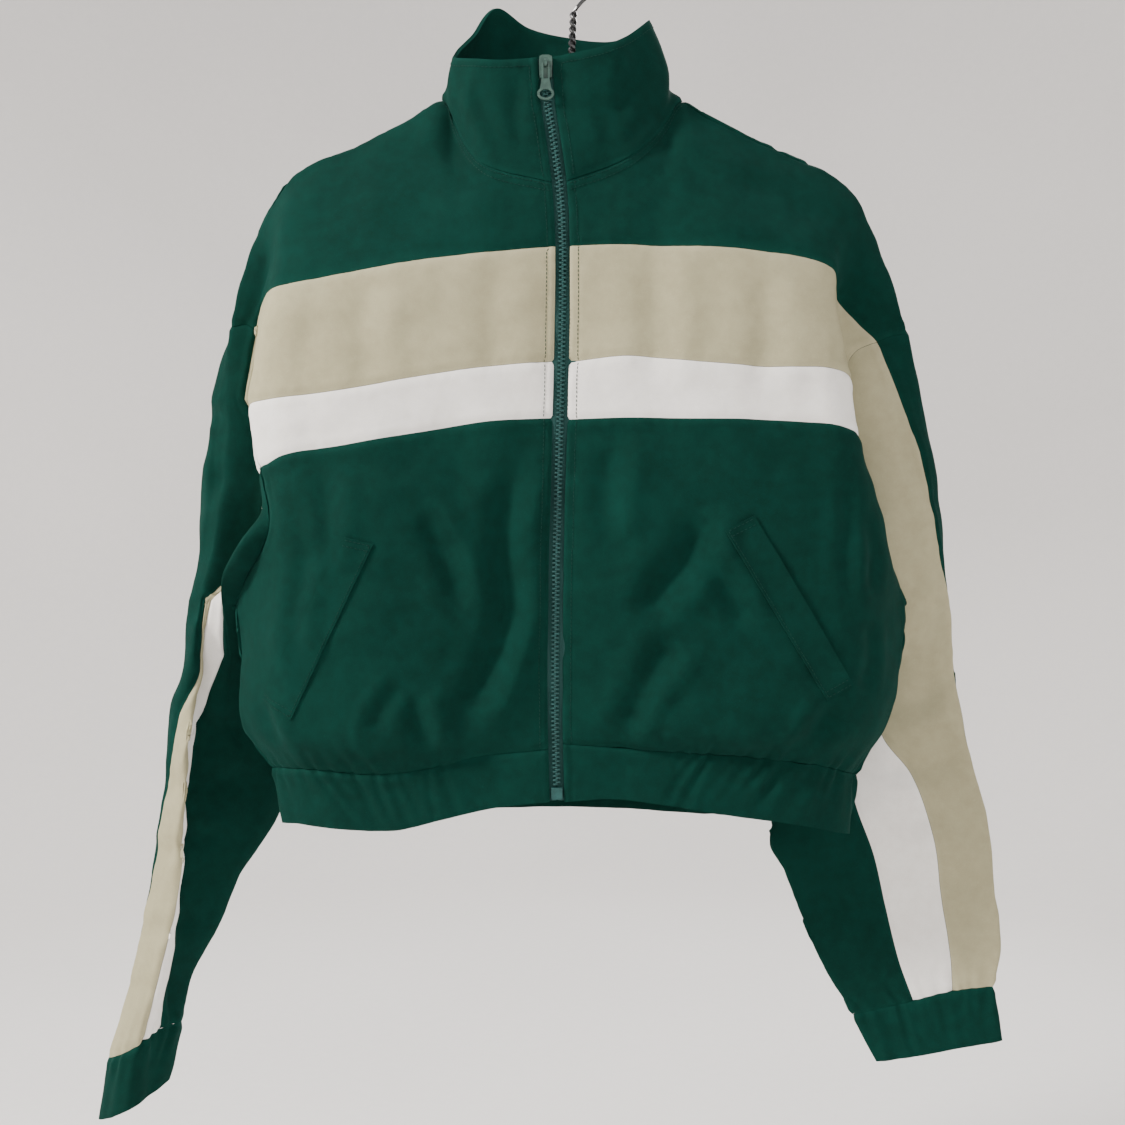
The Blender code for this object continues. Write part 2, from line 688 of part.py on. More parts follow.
def make_fronts(sheets):
    bands = (("yoke", "shoulder", "green_sage", "green"),
             ("sage", "green_sage", "sage_white", "sage"),
             ("white", "sage_white", "white_green", "white"),
             ("lower", "white_green", "hem", "green"))
    last = sum(FRONT_CELLS)
    for side, table in (("right", RIGHT_FRONT), ("left", LEFT_FRONT)):
        for band, top, foot, kind in bands:
            rows = (row_index(table, top), row_index(table, foot))
            cut_piece("front_%s_%s" % (side, band), sheets[side], rows, (0, last), cloth(kind))


def make_back(sheet):
    rows, columns = sheet.grid.shape[:2]
    cut_piece("back", sheet, (0, rows - 1), (0, columns - 1), cloth("green"))


def sleeve_cells(front_table):
    """Columns of the sleeve's bands, which match the rows of the fronts and of the back."""
    rows = [row_index(front_table, name) for name in
            ("shoulder", "green_sage", "sage_white", "white_green", "underarm")]
    return tuple(np.diff(rows)) + (row_index(BACK_ROWS, "underarm"),)


def make_sleeve(side, sheet, cells):
    last = len(sheet.grid) - 1
    top, sage, white, under, back = cells
    edges = np.cumsum((0, sage, white, under, back + top))
    for k, (band, kind) in enumerate((("sage", "sage"), ("white", "white"),
                                      ("under", "green"), ("top", "green"))):
        cut_piece("sleeve_%s_%s" % (side, band), sheet, (0, last), (edges[k], edges[k + 1]),
                  cloth(kind))


def collar_sheet(body):
    neck_column = sum(FRONT_CELLS[:2])
    shoulder_cells = sum(FRONT_CELLS[2:])
    back_neck = body["back"].grid[0][shoulder_cells:-shoulder_cells]
    seam = np.concatenate((body["right"].grid[0][:neck_column], back_neck,
                           body["left"].grid[0][:neck_column][::-1]))
    seam = split_line(seam, COLLAR_SPLIT)
    columns = len(seam) - 1
    top_z = ZIP_LINE[0][0]
    middle_z = (top_z + seam[0][2]) / 2
    rows = [band_line(zip_edge("right", top_z), COLLAR_TOP, zip_edge("left", top_z), columns),
            band_line(zip_edge("right", middle_z), COLLAR_MIDDLE, zip_edge("left", middle_z),
                      columns),
            seam]
    grid = loft(rows, (COLLAR_ROWS, COLLAR_ROWS))
    for row in grid:
        row[0] = zip_edge("right", row[0][2])
        row[-1] = zip_edge("left", row[-1][2])
    return Sheet(grid, False, True, DOUBLED)


def hem_sheet(body):
    seam = np.concatenate((body["right"].grid[-1][:-1], body["back"].grid[-1],
                           body["left"].grid[-1][:-1][::-1]))
    body_columns = len(seam) - 1
    foot_z = ZIP_LINE[-1][0]
    foot = band_line(zip_edge("right", foot_z), HEM_FOOT, zip_edge("left", foot_z), body_columns)
    seam = split_line(seam, HEM_SPLIT)
    foot = split_line(foot, HEM_SPLIT)
    shares = np.linspace(0, 1, HEM_ROWS + 1)
    grid = np.array([seam + (foot - seam) * share for share in shares])
    sheet = Sheet(grid, False, True, DOUBLED)
    columns = len(seam)
    depths = crease_depths(columns, 4 * HEM_SPLIT, columns - 4 * HEM_SPLIT, 2.4)
    strength = np.sin(np.pi * shares * 0.75) ** 0.8
    sheet.push(strength[:, None] * depths[None, :])
    return sheet


def cuff_sheet(sleeve, foot_row, cells, shares):
    top = sleeve.grid[-1]
    front, back = ring_curves(*foot_row)
    foot = np.array([read_ring(front, back, place) for place in ring_places(cells, *shares)])
    foot = np.roll(foot, -cells[0], axis=0)
    top = split_line(np.concatenate((top, top[:1])), CUFF_SPLIT)[:-1]
    foot = split_line(np.concatenate((foot, foot[:1])), CUFF_SPLIT)[:-1]
    steps = np.linspace(0, 1, CUFF_ROWS + 1)
    grid = np.array([top + (foot - top) * share for share in steps])
    sheet = Sheet(grid, True, False, DOUBLED)
    depths = crease_depths(len(top), 1, len(top) - 2, 1.6)
    strength = np.sin(np.pi * steps * 0.75) ** 0.8
    sheet.push(strength[:, None] * depths[None, :])
    return sheet


def make_ring(name, sheet, finish):
    add_wall(name, sheet.grid, sheet.normals, sheet.thick, True, finish, sheet.flip)


def panel_depth(sheet, x, z):
    """Depth of a front panel's outer face at a place seen from the front."""
    grid = sheet.grid + sheet.normals * sheet.thick / 2
    best = None
    rows, columns = grid.shape[:2]
    for i in range(rows - 1):
        for j in range(columns - 1):
            corners = (grid[i, j], grid[i, j + 1], grid[i + 1, j + 1], grid[i + 1, j])
            for a, b, c in ((0, 1, 2), (0, 2, 3)):
                p, q, r = corners[a], corners[b], corners[c]
                base = np.array(((q[0] - p[0], r[0] - p[0]), (q[2] - p[2], r[2] - p[2])))
                if abs(np.linalg.det(base)) < 1e-6:
                    continue
                u, v = np.linalg.solve(base, np.array((x - p[0], z - p[2])))
                if u < -1e-6 or v < -1e-6 or u + v > 1 + 1e-6:
                    continue
                depth = p[1] + u * (q[1] - p[1]) + v * (r[1] - p[1])
                best = depth if best is None else min(best, depth)
    return best


def make_welt(side, sheet):
    """Welt strip laid over the pocket opening, on the panel's own points moved out."""
    top_in, foot_in, top_out, foot_out = (np.array(p, dtype=float) for p in WELTS[side])
    rows = 10
    columns = 3
    grid = np.empty((rows + 1, columns + 1, 3))
    for i in range(rows + 1):
        inner = top_in + (foot_in - top_in) * i / rows
        outer = top_out + (foot_out - top_out) * i / rows
        for j in range(columns + 1):
            x, z = inner + (outer - inner) * j / columns
            grid[i, j] = (x, panel_depth(sheet, x, z) - WELT_LIFT - CLOTH / 2, z)
    welt = Sheet(grid, False, sheet.flip, CLOTH)
    add_wall("pocket_welt_" + side, welt.grid, welt.normals, CLOTH, False, cloth("green"),
             welt.flip)


def tape_rows(side, sheets):
    """Middle, edge and inner point of the zip tape at each row of collar, front and hem."""
    column = 0 if side == "right" else -1
    inner = 1 if side == "right" else -2
    picked = []
    for sheet, edge, beside, reach in ((sheets["collar"], column, inner, 1.0),
                                       (sheets[side], 0, 1, 0.6),
                                       (sheets["hem"], column, inner, 1.0)):
        lift = sheet.thick / 2 + SEAM_GAP + 0.8 + TAPE / 2
        for i in range(len(sheet.grid)):
            here = sheet.grid[i, edge]
            normal = sheet.normals[i, edge]
            run = sheet.grid[i, beside] - here
            reached = here + run / np.linalg.norm(run) * min(8.0, np.linalg.norm(run) * reach)
            picked.append((here, normal, reached, lift))
    rows = []
    for here, normal, reached, lift in picked:
        if rows and abs(rows[-1][1][2] - here[2]) < 1.0:
            rows[-1] = tape_row(side, here, normal, reached, max(lift, 2.3))
            continue
        rows.append(tape_row(side, here, normal, reached, lift))
    return np.array(rows)


def tape_row(side, here, normal, reached, lift):
    middle = zip_middle(here[2])
    sign = -1 if side == "right" else 1
    back = point((0, lift, 0))
    centre = middle + point((sign * 0.3, 0, 0)) + back
    return [centre, here + back, reached - normal * lift]


def make_zip(sheets):
    tape = material("zip_tape", TEAL, 0.85)
    plastic = material("zip_teeth", TEAL, 0.45)
    for side in ("right", "left"):
        rows = tape_rows(side, sheets)
        strip = Sheet(rows, False, side == "right", TAPE)
        add_wall("zip_tape_" + side, strip.grid, strip.normals, TAPE, False, tape, strip.flip)
    heights = [row[1][2] for row in tape_rows("right", sheets)]
    depths = [row[0][1] for row in tape_rows("right", sheets)]
    picked = [CHAIN_TOP] + [z for z in heights if CHAIN_FOOT + 2 < z < CHAIN_TOP - 2]
    picked.append(CHAIN_FOOT)
    grid = []
    for z in picked:
        middle = zip_middle(z)
        back = np.interp(-z, [-h for h in heights], depths)
        middle[1] = back - TAPE / 2 - SEAM_GAP - CHAIN_THICK / 2
        half = point((CHAIN_WIDTH / 2, 0, 0))
        grid.append((middle - half, middle, middle + half))
    chain = Sheet(np.array(grid), False, False, CHAIN_THICK)
    add_wall("zip_chain", chain.grid, chain.normals, CHAIN_THICK, False, plastic, chain.flip)
    return heights, depths


def extrude_outline(name, outline, near, far, finish, axis="y"):
    """Closed plate from an outline. The outline lies across the axis, from near to far."""
    build = bmesh.new()

    def place(spot, depth):
        if axis == "y":
            return (spot[0] * MM, depth * MM, spot[1] * MM)
        return (depth * MM, spot[0] * MM, spot[1] * MM)

    first = [build.verts.new(place(spot, near)) for spot in outline]
    second = [build.verts.new(place(spot, far)) for spot in outline]
    build.faces.new(first)
    build.faces.new(second[::-1])
    for i in range(len(outline)):
        j = (i + 1) % len(outline)
        build.faces.new((first[j], first[i], second[i], second[j]))
    bmesh.ops.recalc_face_normals(build, faces=build.faces)
    mesh = bpy.data.meshes.new(name)
    build.to_mesh(mesh)
    build.free()
    mesh.shade_smooth()
    mesh.set_sharp_from_angle(angle=math.radians(35))
    return add_object(name, mesh, finish)


def boolean(target, tool, operation):
    modifier = target.modifiers.new(operation.lower(), "BOOLEAN")
    modifier.operation = operation
    modifier.solver = "EXACT"
    modifier.object = tool
    tool.hide_render = True
    tool.display_type = "WIRE"


def oval(x, z, half_x, half_z, count, start=0.0, turn=2 * math.pi, closed=True):
    steps = count if closed else count - 1
    return [(x + half_x * math.cos(start + turn * k / steps),
             z + half_z * math.sin(start + turn * k / steps)) for k in range(count)]


def make_slider(tape_face):
    """Slider channel with the loop that carries the pull tab. tape_face: depth of the tape."""
    paint = material("zip_metal", PAINT, 0.4, 0.6)
    x = zip_middle((SLIDER_TOP + SLIDER_FOOT) / 2)[0]
    back = tape_face - SEAM_GAP
    front = back - SLIDER_DEEP
    shoulder = SLIDER_TOP - 4
    outline = [(x - SLIDER_END, SLIDER_TOP), (x - SLIDER_HALF, shoulder),
               (x - SLIDER_END, SLIDER_FOOT + 1), (x - SLIDER_END + 1, SLIDER_FOOT),
               (x + SLIDER_END - 1, SLIDER_FOOT), (x + SLIDER_END, SLIDER_FOOT + 1),
               (x + SLIDER_HALF, shoulder), (x + SLIDER_END, SLIDER_TOP),
               (x + SLIDER_END / 2, SLIDER_TOP + 1), (x - SLIDER_END / 2, SLIDER_TOP + 1)]
    slider = extrude_outline("zip_slider", outline, front, back, paint)
    channel = extrude_outline("slider_channel_cutter",
                              [(x - CHANNEL_HALF, SLIDER_FOOT - 1), (x + CHANNEL_HALF, SLIDER_FOOT - 1),
                               (x + CHANNEL_HALF, shoulder - 1), (x - CHANNEL_HALF, shoulder - 1)],
                              front + SLIDER_PLATE, back + 1, paint)
    boolean(slider, channel, "DIFFERENCE")
    tip = front - LOOP_HIGH
    root = front + SLIDER_PLATE / 3
    round_tip = LOOP_HALF - 0.9
    middle = PULL_AXIS_Z
    loop = [(root, middle + LOOP_HALF), (tip + 0.8, middle + LOOP_HALF), (tip, middle + round_tip),
            (tip, middle - round_tip), (tip + 0.8, middle - LOOP_HALF), (root, middle - LOOP_HALF),
            (root, middle - LOOP_HOLE), (tip + LOOP_WALL, middle - LOOP_HOLE),
            (tip + LOOP_WALL, middle + LOOP_HOLE), (root, middle + LOOP_HOLE)]
    bridge = extrude_outline("slider_loop_cutter", loop, x - LOOP_HALF_WIDTH, x + LOOP_HALF_WIDTH,
                             paint, axis="x")
    boolean(slider, bridge, "UNION")
    return x, (front + tip + LOOP_WALL) / 2


def make_pull(x, y):
    """Pull tab, hanging from the slider's loop. Its object's origin is on the hinge axis."""
    paint = material("zip_metal", PAINT, 0.4, 0.6)
    ring_z, half_x, half_z = PULL_RING
    rim_side, rim_end = PULL_RIM
    bar = LOOP_HOLE / 2
    arc = oval(x, ring_z, half_x, half_z, 19, math.radians(132), math.radians(276), closed=False)
    flare_z = PULL_NECK_Z - 4
    outline = [(x + PULL_HALF, PULL_AXIS_Z + bar), (x - PULL_HALF, PULL_AXIS_Z + bar),
               (x - PULL_NECK_HALF, PULL_NECK_Z), (x - PULL_NECK_HALF - 0.6, flare_z)]
    outline += arc + [(x + PULL_NECK_HALF + 0.6, flare_z), (x + PULL_NECK_HALF, PULL_NECK_Z)]
    pull = extrude_outline("zip_pull", outline, y - PULL_THICK / 2, y + PULL_THICK / 2, paint)
    half = PULL_WINDOW_HALF
    window = extrude_outline("pull_window_cutter",
                             [(x - half, PULL_AXIS_Z - bar), (x + half, PULL_AXIS_Z - bar),
                              (x + half, PULL_NECK_Z), (x - half, PULL_NECK_Z)],
                             y - PULL_THICK * 2, y + PULL_THICK * 2, paint)
    hole = extrude_outline("pull_hole_cutter",
                           oval(x, ring_z, half_x - rim_side, half_z - rim_end, 20),
                           y - PULL_THICK * 2, y + PULL_THICK * 2, paint)
    boolean(pull, window, "DIFFERENCE")
    boolean(pull, hole, "DIFFERENCE")
    axis = (x * MM, y * MM, PULL_AXIS_Z * MM)
    for item in (pull, window, hole):
        for vertex in item.data.vertices:
            vertex.co.x -= axis[0]
            vertex.co.y -= axis[1]
            vertex.co.z -= axis[2]
        item.location = axis


def make_zip_box(tape_face):
    plastic = material("zip_teeth", TEAL, 0.45)
    x = zip_middle((BOX_TOP + BOX_FOOT) / 2)[0]
    back = tape_face - SEAM_GAP
    outline = [(x - BOX_HALF, BOX_TOP), (x - BOX_HALF, BOX_FOOT + 1), (x - BOX_HALF + 1, BOX_FOOT),
               (x + BOX_HALF - 1, BOX_FOOT), (x + BOX_HALF, BOX_FOOT + 1), (x + BOX_HALF, BOX_TOP)]
    extrude_outline("zip_box", outline, back - BOX_DEEP, back, plastic)


def add_tube(name, points, diameter, finish):
    curve = bpy.data.curves.new(name, "CURVE")
    curve.dimensions = "3D"
    curve.bevel_depth = diameter * MM / 2
    curve.bevel_resolution = 2
    curve.use_fill_caps = True
    spline = curve.splines.new("POLY")
    spline.points.add(len(points) - 1)
    for item, spot in zip(spline.points, points):
        item.co = (spot[0] * MM, spot[1] * MM, spot[2] * MM, 1.0)
    return add_object(name, curve, finish)


def hanger_side(front, sign):
    """Wire under one shoulder, from the foot of the twist out to the turn at the hanger's end."""
    neck_column = sum(FRONT_CELLS[:2])
    fold_column = neck_column + sum(FRONT_CELLS[2:4])
    line = front.grid[0][neck_column:fold_column + 1].copy()
    line[:, 1] = 0
    run = np.gradient(line, axis=0)
    inward = np.cross(run, point((0, -sign, 0)))
    inward = inward / np.linalg.norm(inward, axis=1)[:, None]
    drops = np.full(len(line), WIRE_DROP)
    drops[0] = NECK_DROP
    ridge = line + inward * drops[:, None]
    start = point((sign * 2.2 - 3.0, 0, TWIST_FOOT))
    bend = point((sign * 14 - 3.0, 0, TWIST_FOOT - 9))
    stations = [start, bend] + list(ridge[::2])
    return through(stations, [2] * (len(stations) - 1))


def make_hanger(sheets):
    """One wire: the hook, a twisted neck, both shoulders and the bar between their ends."""
    black = material("hanger_wire", BLACK, 0.35, 0.2)
    right = hanger_side(sheets["right"], -1)
    left = hanger_side(sheets["left"], 1)
    rise = WIRE / 2
    hook_centre = -HOOK_RADIUS + rise
    arc = [(HOOK_RADIUS * math.cos(a), 0, hook_centre + HOOK_RADIUS * math.sin(a))
           for a in np.radians(np.linspace(205, -25, 15))]
    shank = through((arc[-1], (7.5, 0, -30), (-1.5, 0, TWIST_TOP)), (2, 3))
    spiral = []
    count = 8 * TWIST_TURNS
    radius = WIRE / 2 + 0.25
    for k in range(count + 1):
        share = k / count
        turn = 2 * math.pi * TWIST_TURNS * share
        middle = -1.5 - 1.5 * share
        spiral.append((middle, radius * math.cos(turn), radius * math.sin(turn),
                       TWIST_TOP + (TWIST_FOOT - TWIST_TOP) * share))
    first = [point((m - s, c, z)) for m, c, s, z in spiral]
    second = [point((m + s, -c, z)) for m, c, s, z in spiral]
    end_right = turn_round(right, -1)
    end_left = turn_round(left, 1)[::-1]
    path = arc + list(shank[1:-1]) + first + list(right[1:]) + end_right + end_left
    path += list(left[::-1][:-1]) + second[::-1]
    add_tube("hanger", path, WIRE, black)


def turn_round(side, sign):
    """Round end of the hanger, from the shoulder wire back to the start of the straight bar."""
    end = side[-1]
    run = end - side[-2]
    angle = math.atan2(run[2], run[0])
    radius = 7.0
    centre = end + radius * point((math.sin(angle) * sign, 0, -math.cos(angle) * sign))
    start = math.atan2(end[2] - centre[2], end[0] - centre[0])
    foot = -math.pi / 2
    if sign < 0:
        while foot < start:
            foot += 2 * math.pi
    else:
        while foot > start:
            foot -= 2 * math.pi
    return [centre + radius * point((math.cos(a), 0, math.sin(a)))
            for a in np.linspace(start, foot, 7)[1:]]


def main():
    clear_scene()
    right_grid = front_grid("right", RIGHT_FRONT)
    left_grid = front_grid("left", LEFT_FRONT)
    sheets = {"right": Sheet(right_grid, False, True, CLOTH),
              "left": Sheet(left_grid, False, False, CLOTH)}
    sheets["back"] = Sheet(back_grid(right_grid, left_grid), False, True, CLOTH)
    sheets["collar"] = collar_sheet(sheets)
    sheets["hem"] = hem_sheet(sheets)
    underarm = row_index(RIGHT_FRONT, "underarm")
    back_underarm = row_index(BACK_ROWS, "underarm")
    for side, table, front_table, cuff in (("right", RIGHT_SLEEVE, RIGHT_FRONT, RIGHT_CUFF),
                                           ("left", LEFT_SLEEVE, LEFT_FRONT, LEFT_CUFF)):
        column = 0 if side == "right" else -1
        cells = sleeve_cells(front_table)
        armhole = np.concatenate((sheets[side].grid[:underarm, -1],
                                  sheets["back"].grid[1:back_underarm + 1, column][::-1]))
        grid = sleeve_grid(table, armhole, cells, HEAD_CELLS[side])
        sheets["sleeve_" + side] = Sheet(grid, True, side == "left", CLOTH)
        cuff_made = cuff_sheet(sheets["sleeve_" + side], cuff, cells, table[-1][6:])
        cuff_made.flip = side == "left"
        cuff_made.normals = cuff_made.face_out()
        sheets["cuff_" + side] = cuff_made
        sheets["cells_" + side] = cells
    share_seams([item for item in sheets.values() if isinstance(item, Sheet)])
    follow_chords(sheets["collar"], -1, COLLAR_SPLIT)
    follow_chords(sheets["hem"], 0, HEM_SPLIT)
    for side in ("right", "left"):
        follow_chords(sheets["cuff_" + side], 0, CUFF_SPLIT)
    make_fronts(sheets)
    make_back(sheets["back"])
    for side in ("right", "left"):
        make_sleeve(side, sheets["sleeve_" + side], sheets["cells_" + side])
        make_ring("cuff_" + side, sheets["cuff_" + side], cloth("green"))
        make_welt(side, sheets[side])
    for name, node in (("collar", "collar"), ("hem", "hem_band")):
        sheet = sheets[name]
        rows, columns = sheet.grid.shape[:2]
        cut_piece(node, sheet, (0, rows - 1), (0, columns - 1), cloth("green"))
    heights, depths = make_zip(sheets)
    slider_tape = np.interp(-SLIDER_FOOT, [-h for h in heights], depths) - TAPE / 2
    x, y = make_slider(slider_tape)
    make_pull(x, y)
    make_zip_box(np.interp(-BOX_TOP, [-h for h in heights], depths) - TAPE / 2)
    make_hanger(sheets)


main()
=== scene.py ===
import math
import bpy
import bmesh
import numpy as np
from mathutils import Matrix, Vector, bvhtree, kdtree


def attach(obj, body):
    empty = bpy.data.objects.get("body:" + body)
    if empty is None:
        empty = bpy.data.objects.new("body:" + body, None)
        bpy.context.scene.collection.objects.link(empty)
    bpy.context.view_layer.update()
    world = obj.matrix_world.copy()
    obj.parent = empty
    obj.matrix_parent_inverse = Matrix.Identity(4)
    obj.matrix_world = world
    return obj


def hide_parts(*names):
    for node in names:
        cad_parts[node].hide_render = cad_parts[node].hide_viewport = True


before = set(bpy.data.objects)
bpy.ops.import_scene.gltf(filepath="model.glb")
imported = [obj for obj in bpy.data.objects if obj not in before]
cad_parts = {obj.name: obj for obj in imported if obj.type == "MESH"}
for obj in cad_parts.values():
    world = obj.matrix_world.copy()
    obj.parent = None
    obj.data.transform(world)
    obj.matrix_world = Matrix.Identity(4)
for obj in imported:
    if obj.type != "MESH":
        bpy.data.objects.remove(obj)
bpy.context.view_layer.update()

# Sizes and places in the tables are millimetres. "Right" and "left" are the wearer's.
mm = 0.001
sides = ("right", "left")
bpy.ops.object.select_all(action="DESELECT")
print("frame loaded:", len(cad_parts), "nodes")

# Thickness of single and doubled cloth, how it dips into a seam over the allowance that lies
# inside and puckers there, and how it rounds at a folded edge with a stitched row beside it.
cloth = {"fleece": 1.8, "doubled": 2.8, "seamGap": 0.3, "seamDip": 1.0, "seamWide": 2.4,
         "allowance": 0.40, "allowanceAt": 5.5, "allowanceWide": 3.0, "pucker": 0.15,
         "puckerReach": 8.0, "foldDip": 1.0, "foldWide": 1.3, "rowDip": 0.45, "rowAt": 6.4,
         "rowWide": 1.1, "rowPucker": 0.16, "rowReach": 4.0, "rubWide": 2.2}
# Cells of the fine sheets: in each coarse cell of the body and down each one of a sleeve, and in
# all down the collar, the hem band and a cuff.
fine = {"body": 8, "sleeveRows": 12, "collarRows": 18, "hemRows": 20, "cuffRows": 18}

zipLine = (
    # z, x, y
    (-90.5, -23.3, -38),
    (-127.5, -21.0, -40),
    (-151.8, -17.0, -41),
    (-185.5, -12.6, -42),
    (-208.0, -10.9, -44),
    (-234.5, -10.0, -45),
    (-277.0, -10.1, -46),
    (-320.5, -10.9, -46),
    (-363.0, -12.0, -46),
    (-416.5, -13.5, -46),
    (-476.0, -15.0, -46),
    (-543.5, -15.7, -44),
    (-591.5, -15.7, -42),
    (-609.0, -15.2, -40),
    (-650.6, -14.2, -38),
)
frontCells = (3, 3, 3, 3, 2, 2)
rightFront = (
    # row, cells, zip, chest, neck, shoulder, fold, tuck, seam
    ("shoulder", 2, -186, (-66, -35, -172), (-104, 0, -110), (-163, 0, -143),
     (-221, 0, -169), (-250, 0, -219), (-267, 0, -283)),
    ("yoke", 1, -209, (-73, -44, -204), (-111, -26, -169), (-167, -27, -193),
     (-223, -23, -209), (-240, -8, -238), (-258, -2, -285)),
    ("green_sage", 2, -234.5, (-66, -48, -240), (-108, -50, -245), (-168, -48, -255),
     (-225, -38, -264), (-243, -7, -268), (-249, -2, -291)),
    ("sage", 2, -277, (-66, -50, -282), (-112, -52, -287), (-173, -50, -299),
     (-234, -38, -306), (-246, -10, -308), (-249, -3, -319)),
    ("sage_white", 2, -320.5, (-66, -50, -325), (-114, -52, -332), (-177, -50, -343),
     (-239, -37, -349), (-250, -24, -350), (-251, -12, -354)),
    ("white_green", 3, -363, (-66, -50, -366), (-116, -52, -374), (-175, -50, -384),
     (-224, -41, -392), (-233, -36, -396), (-242, -28, -398)),
    ("arm", 3, -416.5, (-66, -52, -421), (-115, -54, -428), (-169, -54, -435),
     (-207, -49, -440), (-221, -43, -441), (-232, -34, -442)),
    ("underarm", 2, -476, (-67, -52, -480), (-119, -55, -485), (-173, -56, -492),
     (-216, -45, -499), (-242, -24, -502), (-266, 0, -505)),
    ("waist", 2, -543.5, (-68, -50, -547), (-123, -55, -550), (-182, -54, -553),
     (-228, -40, -553), (-249, -20, -551), (-262, 0, -551)),
    ("blouse", 1, -591.5, (-64, -48, -594), (-115, -54, -598), (-173, -54, -600),
     (-220, -42, -600), (-244, -22, -599), (-260, 0, -600)),
    ("hem", 0, -611, (-67, -38, -616), (-108, -38, -625), (-161, -37, -630),
     (-205, -29, -627), (-225, -15, -629), (-237, 0, -631)),
)
leftFront = (
    # row, cells, zip, chest, neck, shoulder, fold, tuck, seam
    ("shoulder", 2, -185, (39, -34, -165), (84, 0, -110), (147, 0, -143),
     (212, 0, -179), (238, 0, -238), (258, 0, -287)),
    ("yoke", 1, -209, (48, -44, -204), (91, -26, -169), (148, -27, -193),
     (199, -22, -216), (219, -8, -248), (247, -3, -294)),
    ("green_sage", 2, -234.5, (42, -48, -234), (88, -50, -236), (143, -48, -240),
     (192, -38, -249), (204, -7, -268), (235, -4, -299)),
    ("sage", 2, -277, (40, -50, -276), (84, -52, -278), (140, -50, -283),
     (196, -38, -290), (206, -9, -297), (220, -4, -305)),
    ("sage_white", 2, -321, (40, -50, -317), (84, -52, -321), (140, -50, -325),
     (202, -37, -328), (210, -12, -337), (203, -2, -353)),
    ("white_green", 3, -364, (40, -50, -363), (84, -52, -364), (142, -50, -365),
     (210, -37, -374), (215, -16, -384), (206, -2, -400)),
    ("arm", 3, -416.5, (41, -52, -417), (89, -54, -419), (147, -54, -425),
     (219, -40, -436), (236, -21, -443), (234, -3, -455)),
    ("underarm", 2, -476, (44, -52, -480), (95, -55, -485), (155, -56, -492),
     (218, -45, -499), (242, -22, -501), (257, 0, -503)),
    ("waist", 2, -543.5, (44, -50, -547), (97, -55, -549), (158, -54, -551),
     (216, -40, -550), (241, -20, -549), (256, 0, -548)),
    ("blouse", 1, -591.5, (42, -48, -594), (93, -54, -597), (152, -54, -600),
     (203, -42, -601), (228, -22, -601), (241, 0, -601)),
    ("hem", 0, -607, (37, -38, -610), (87, -38, -614), (146, -36, -619),
     (193, -28, -627), (211, -14, -633), (221, 0, -637)),
)
backCells = (4, 6, 4)
backRows = (
    # row, cells, side, blade, centre, right seam, left seam
    ("shoulder", 2, 0, 0, -136, (-267, 0, -283), (258, 0, -287)),
    ("yoke", 2, 15, 22, -185, (-261, 12, -312), (253, 12, -316)),
    ("chest", 2, 25, 30, -260, (-255, 24, -355), (245, 24, -355)),
    ("blade", 2, 29, 33, -345, (-251, 28, -408), (239, 29, -411)),
    ("arm", 2, 28, 34, -425, (-254, 22, -460), (243, 25, -468)),
    ("underarm", 2, 24, 34, -495, None, None),
    ("waist", 2, 24, 35, -548, None, None),
    ("blouse", 1, 24, 34, -597, None, None),
    ("hem", 0, 20, 28, -618, None, None),
)
backNeck = ((-104, 0, -110), (-86, 13, -123), (-50, 23, -133), (-10, 26, -136),
             (30, 23, -133), (66, 13, -123), (84, 0, -110))
collarTop = (
    # column, x, y, z
    (6, -67, -37, -93), (12, -93, -20, -83), (15, -82, 2, -57), (17, -63, 17, -30),
    (20, -37, 27, -42), (23, -5, 31, -48), (26, 28, 29, -52), (28, 52, 12, -50),
    (30, 58, -4, -48), (34, 38, -22, -69), (37, 18, -34, -82),
)
collarMiddle = (
    # column, x, y, z
    (6, -67, -39, -133), (12, -98, -14, -103), (15, -90, 5, -90), (17, -74, 20, -81),
    (20, -45, 28, -89), (23, -8, 32, -92), (26, 32, 29, -92), (28, 60, 16, -88),
    (30, 70, 0, -84), (34, 47, -22, -113), (37, 22, -36, -127),
)
hemFoot = (
    # column, x, y, z
    (3, -61, -40, -655), (6, -98, -40, -663), (9, -135, -38, -672), (12, -182, -33, -672),
    (14, -212, -20, -671), (16, -229, 0, -674), (20, -200, 19, -673), (26, -110, 27, -670),
    (30, -9, 29, -667), (34, 92, 27, -671), (40, 184, 19, -679), (44, 212, 0, -682),
    (46, 198, -19, -677), (48, 168, -32, -669), (51, 117, -38, -661), (54, 70, -40, -653),
    (57, 27, -40, -648),
)
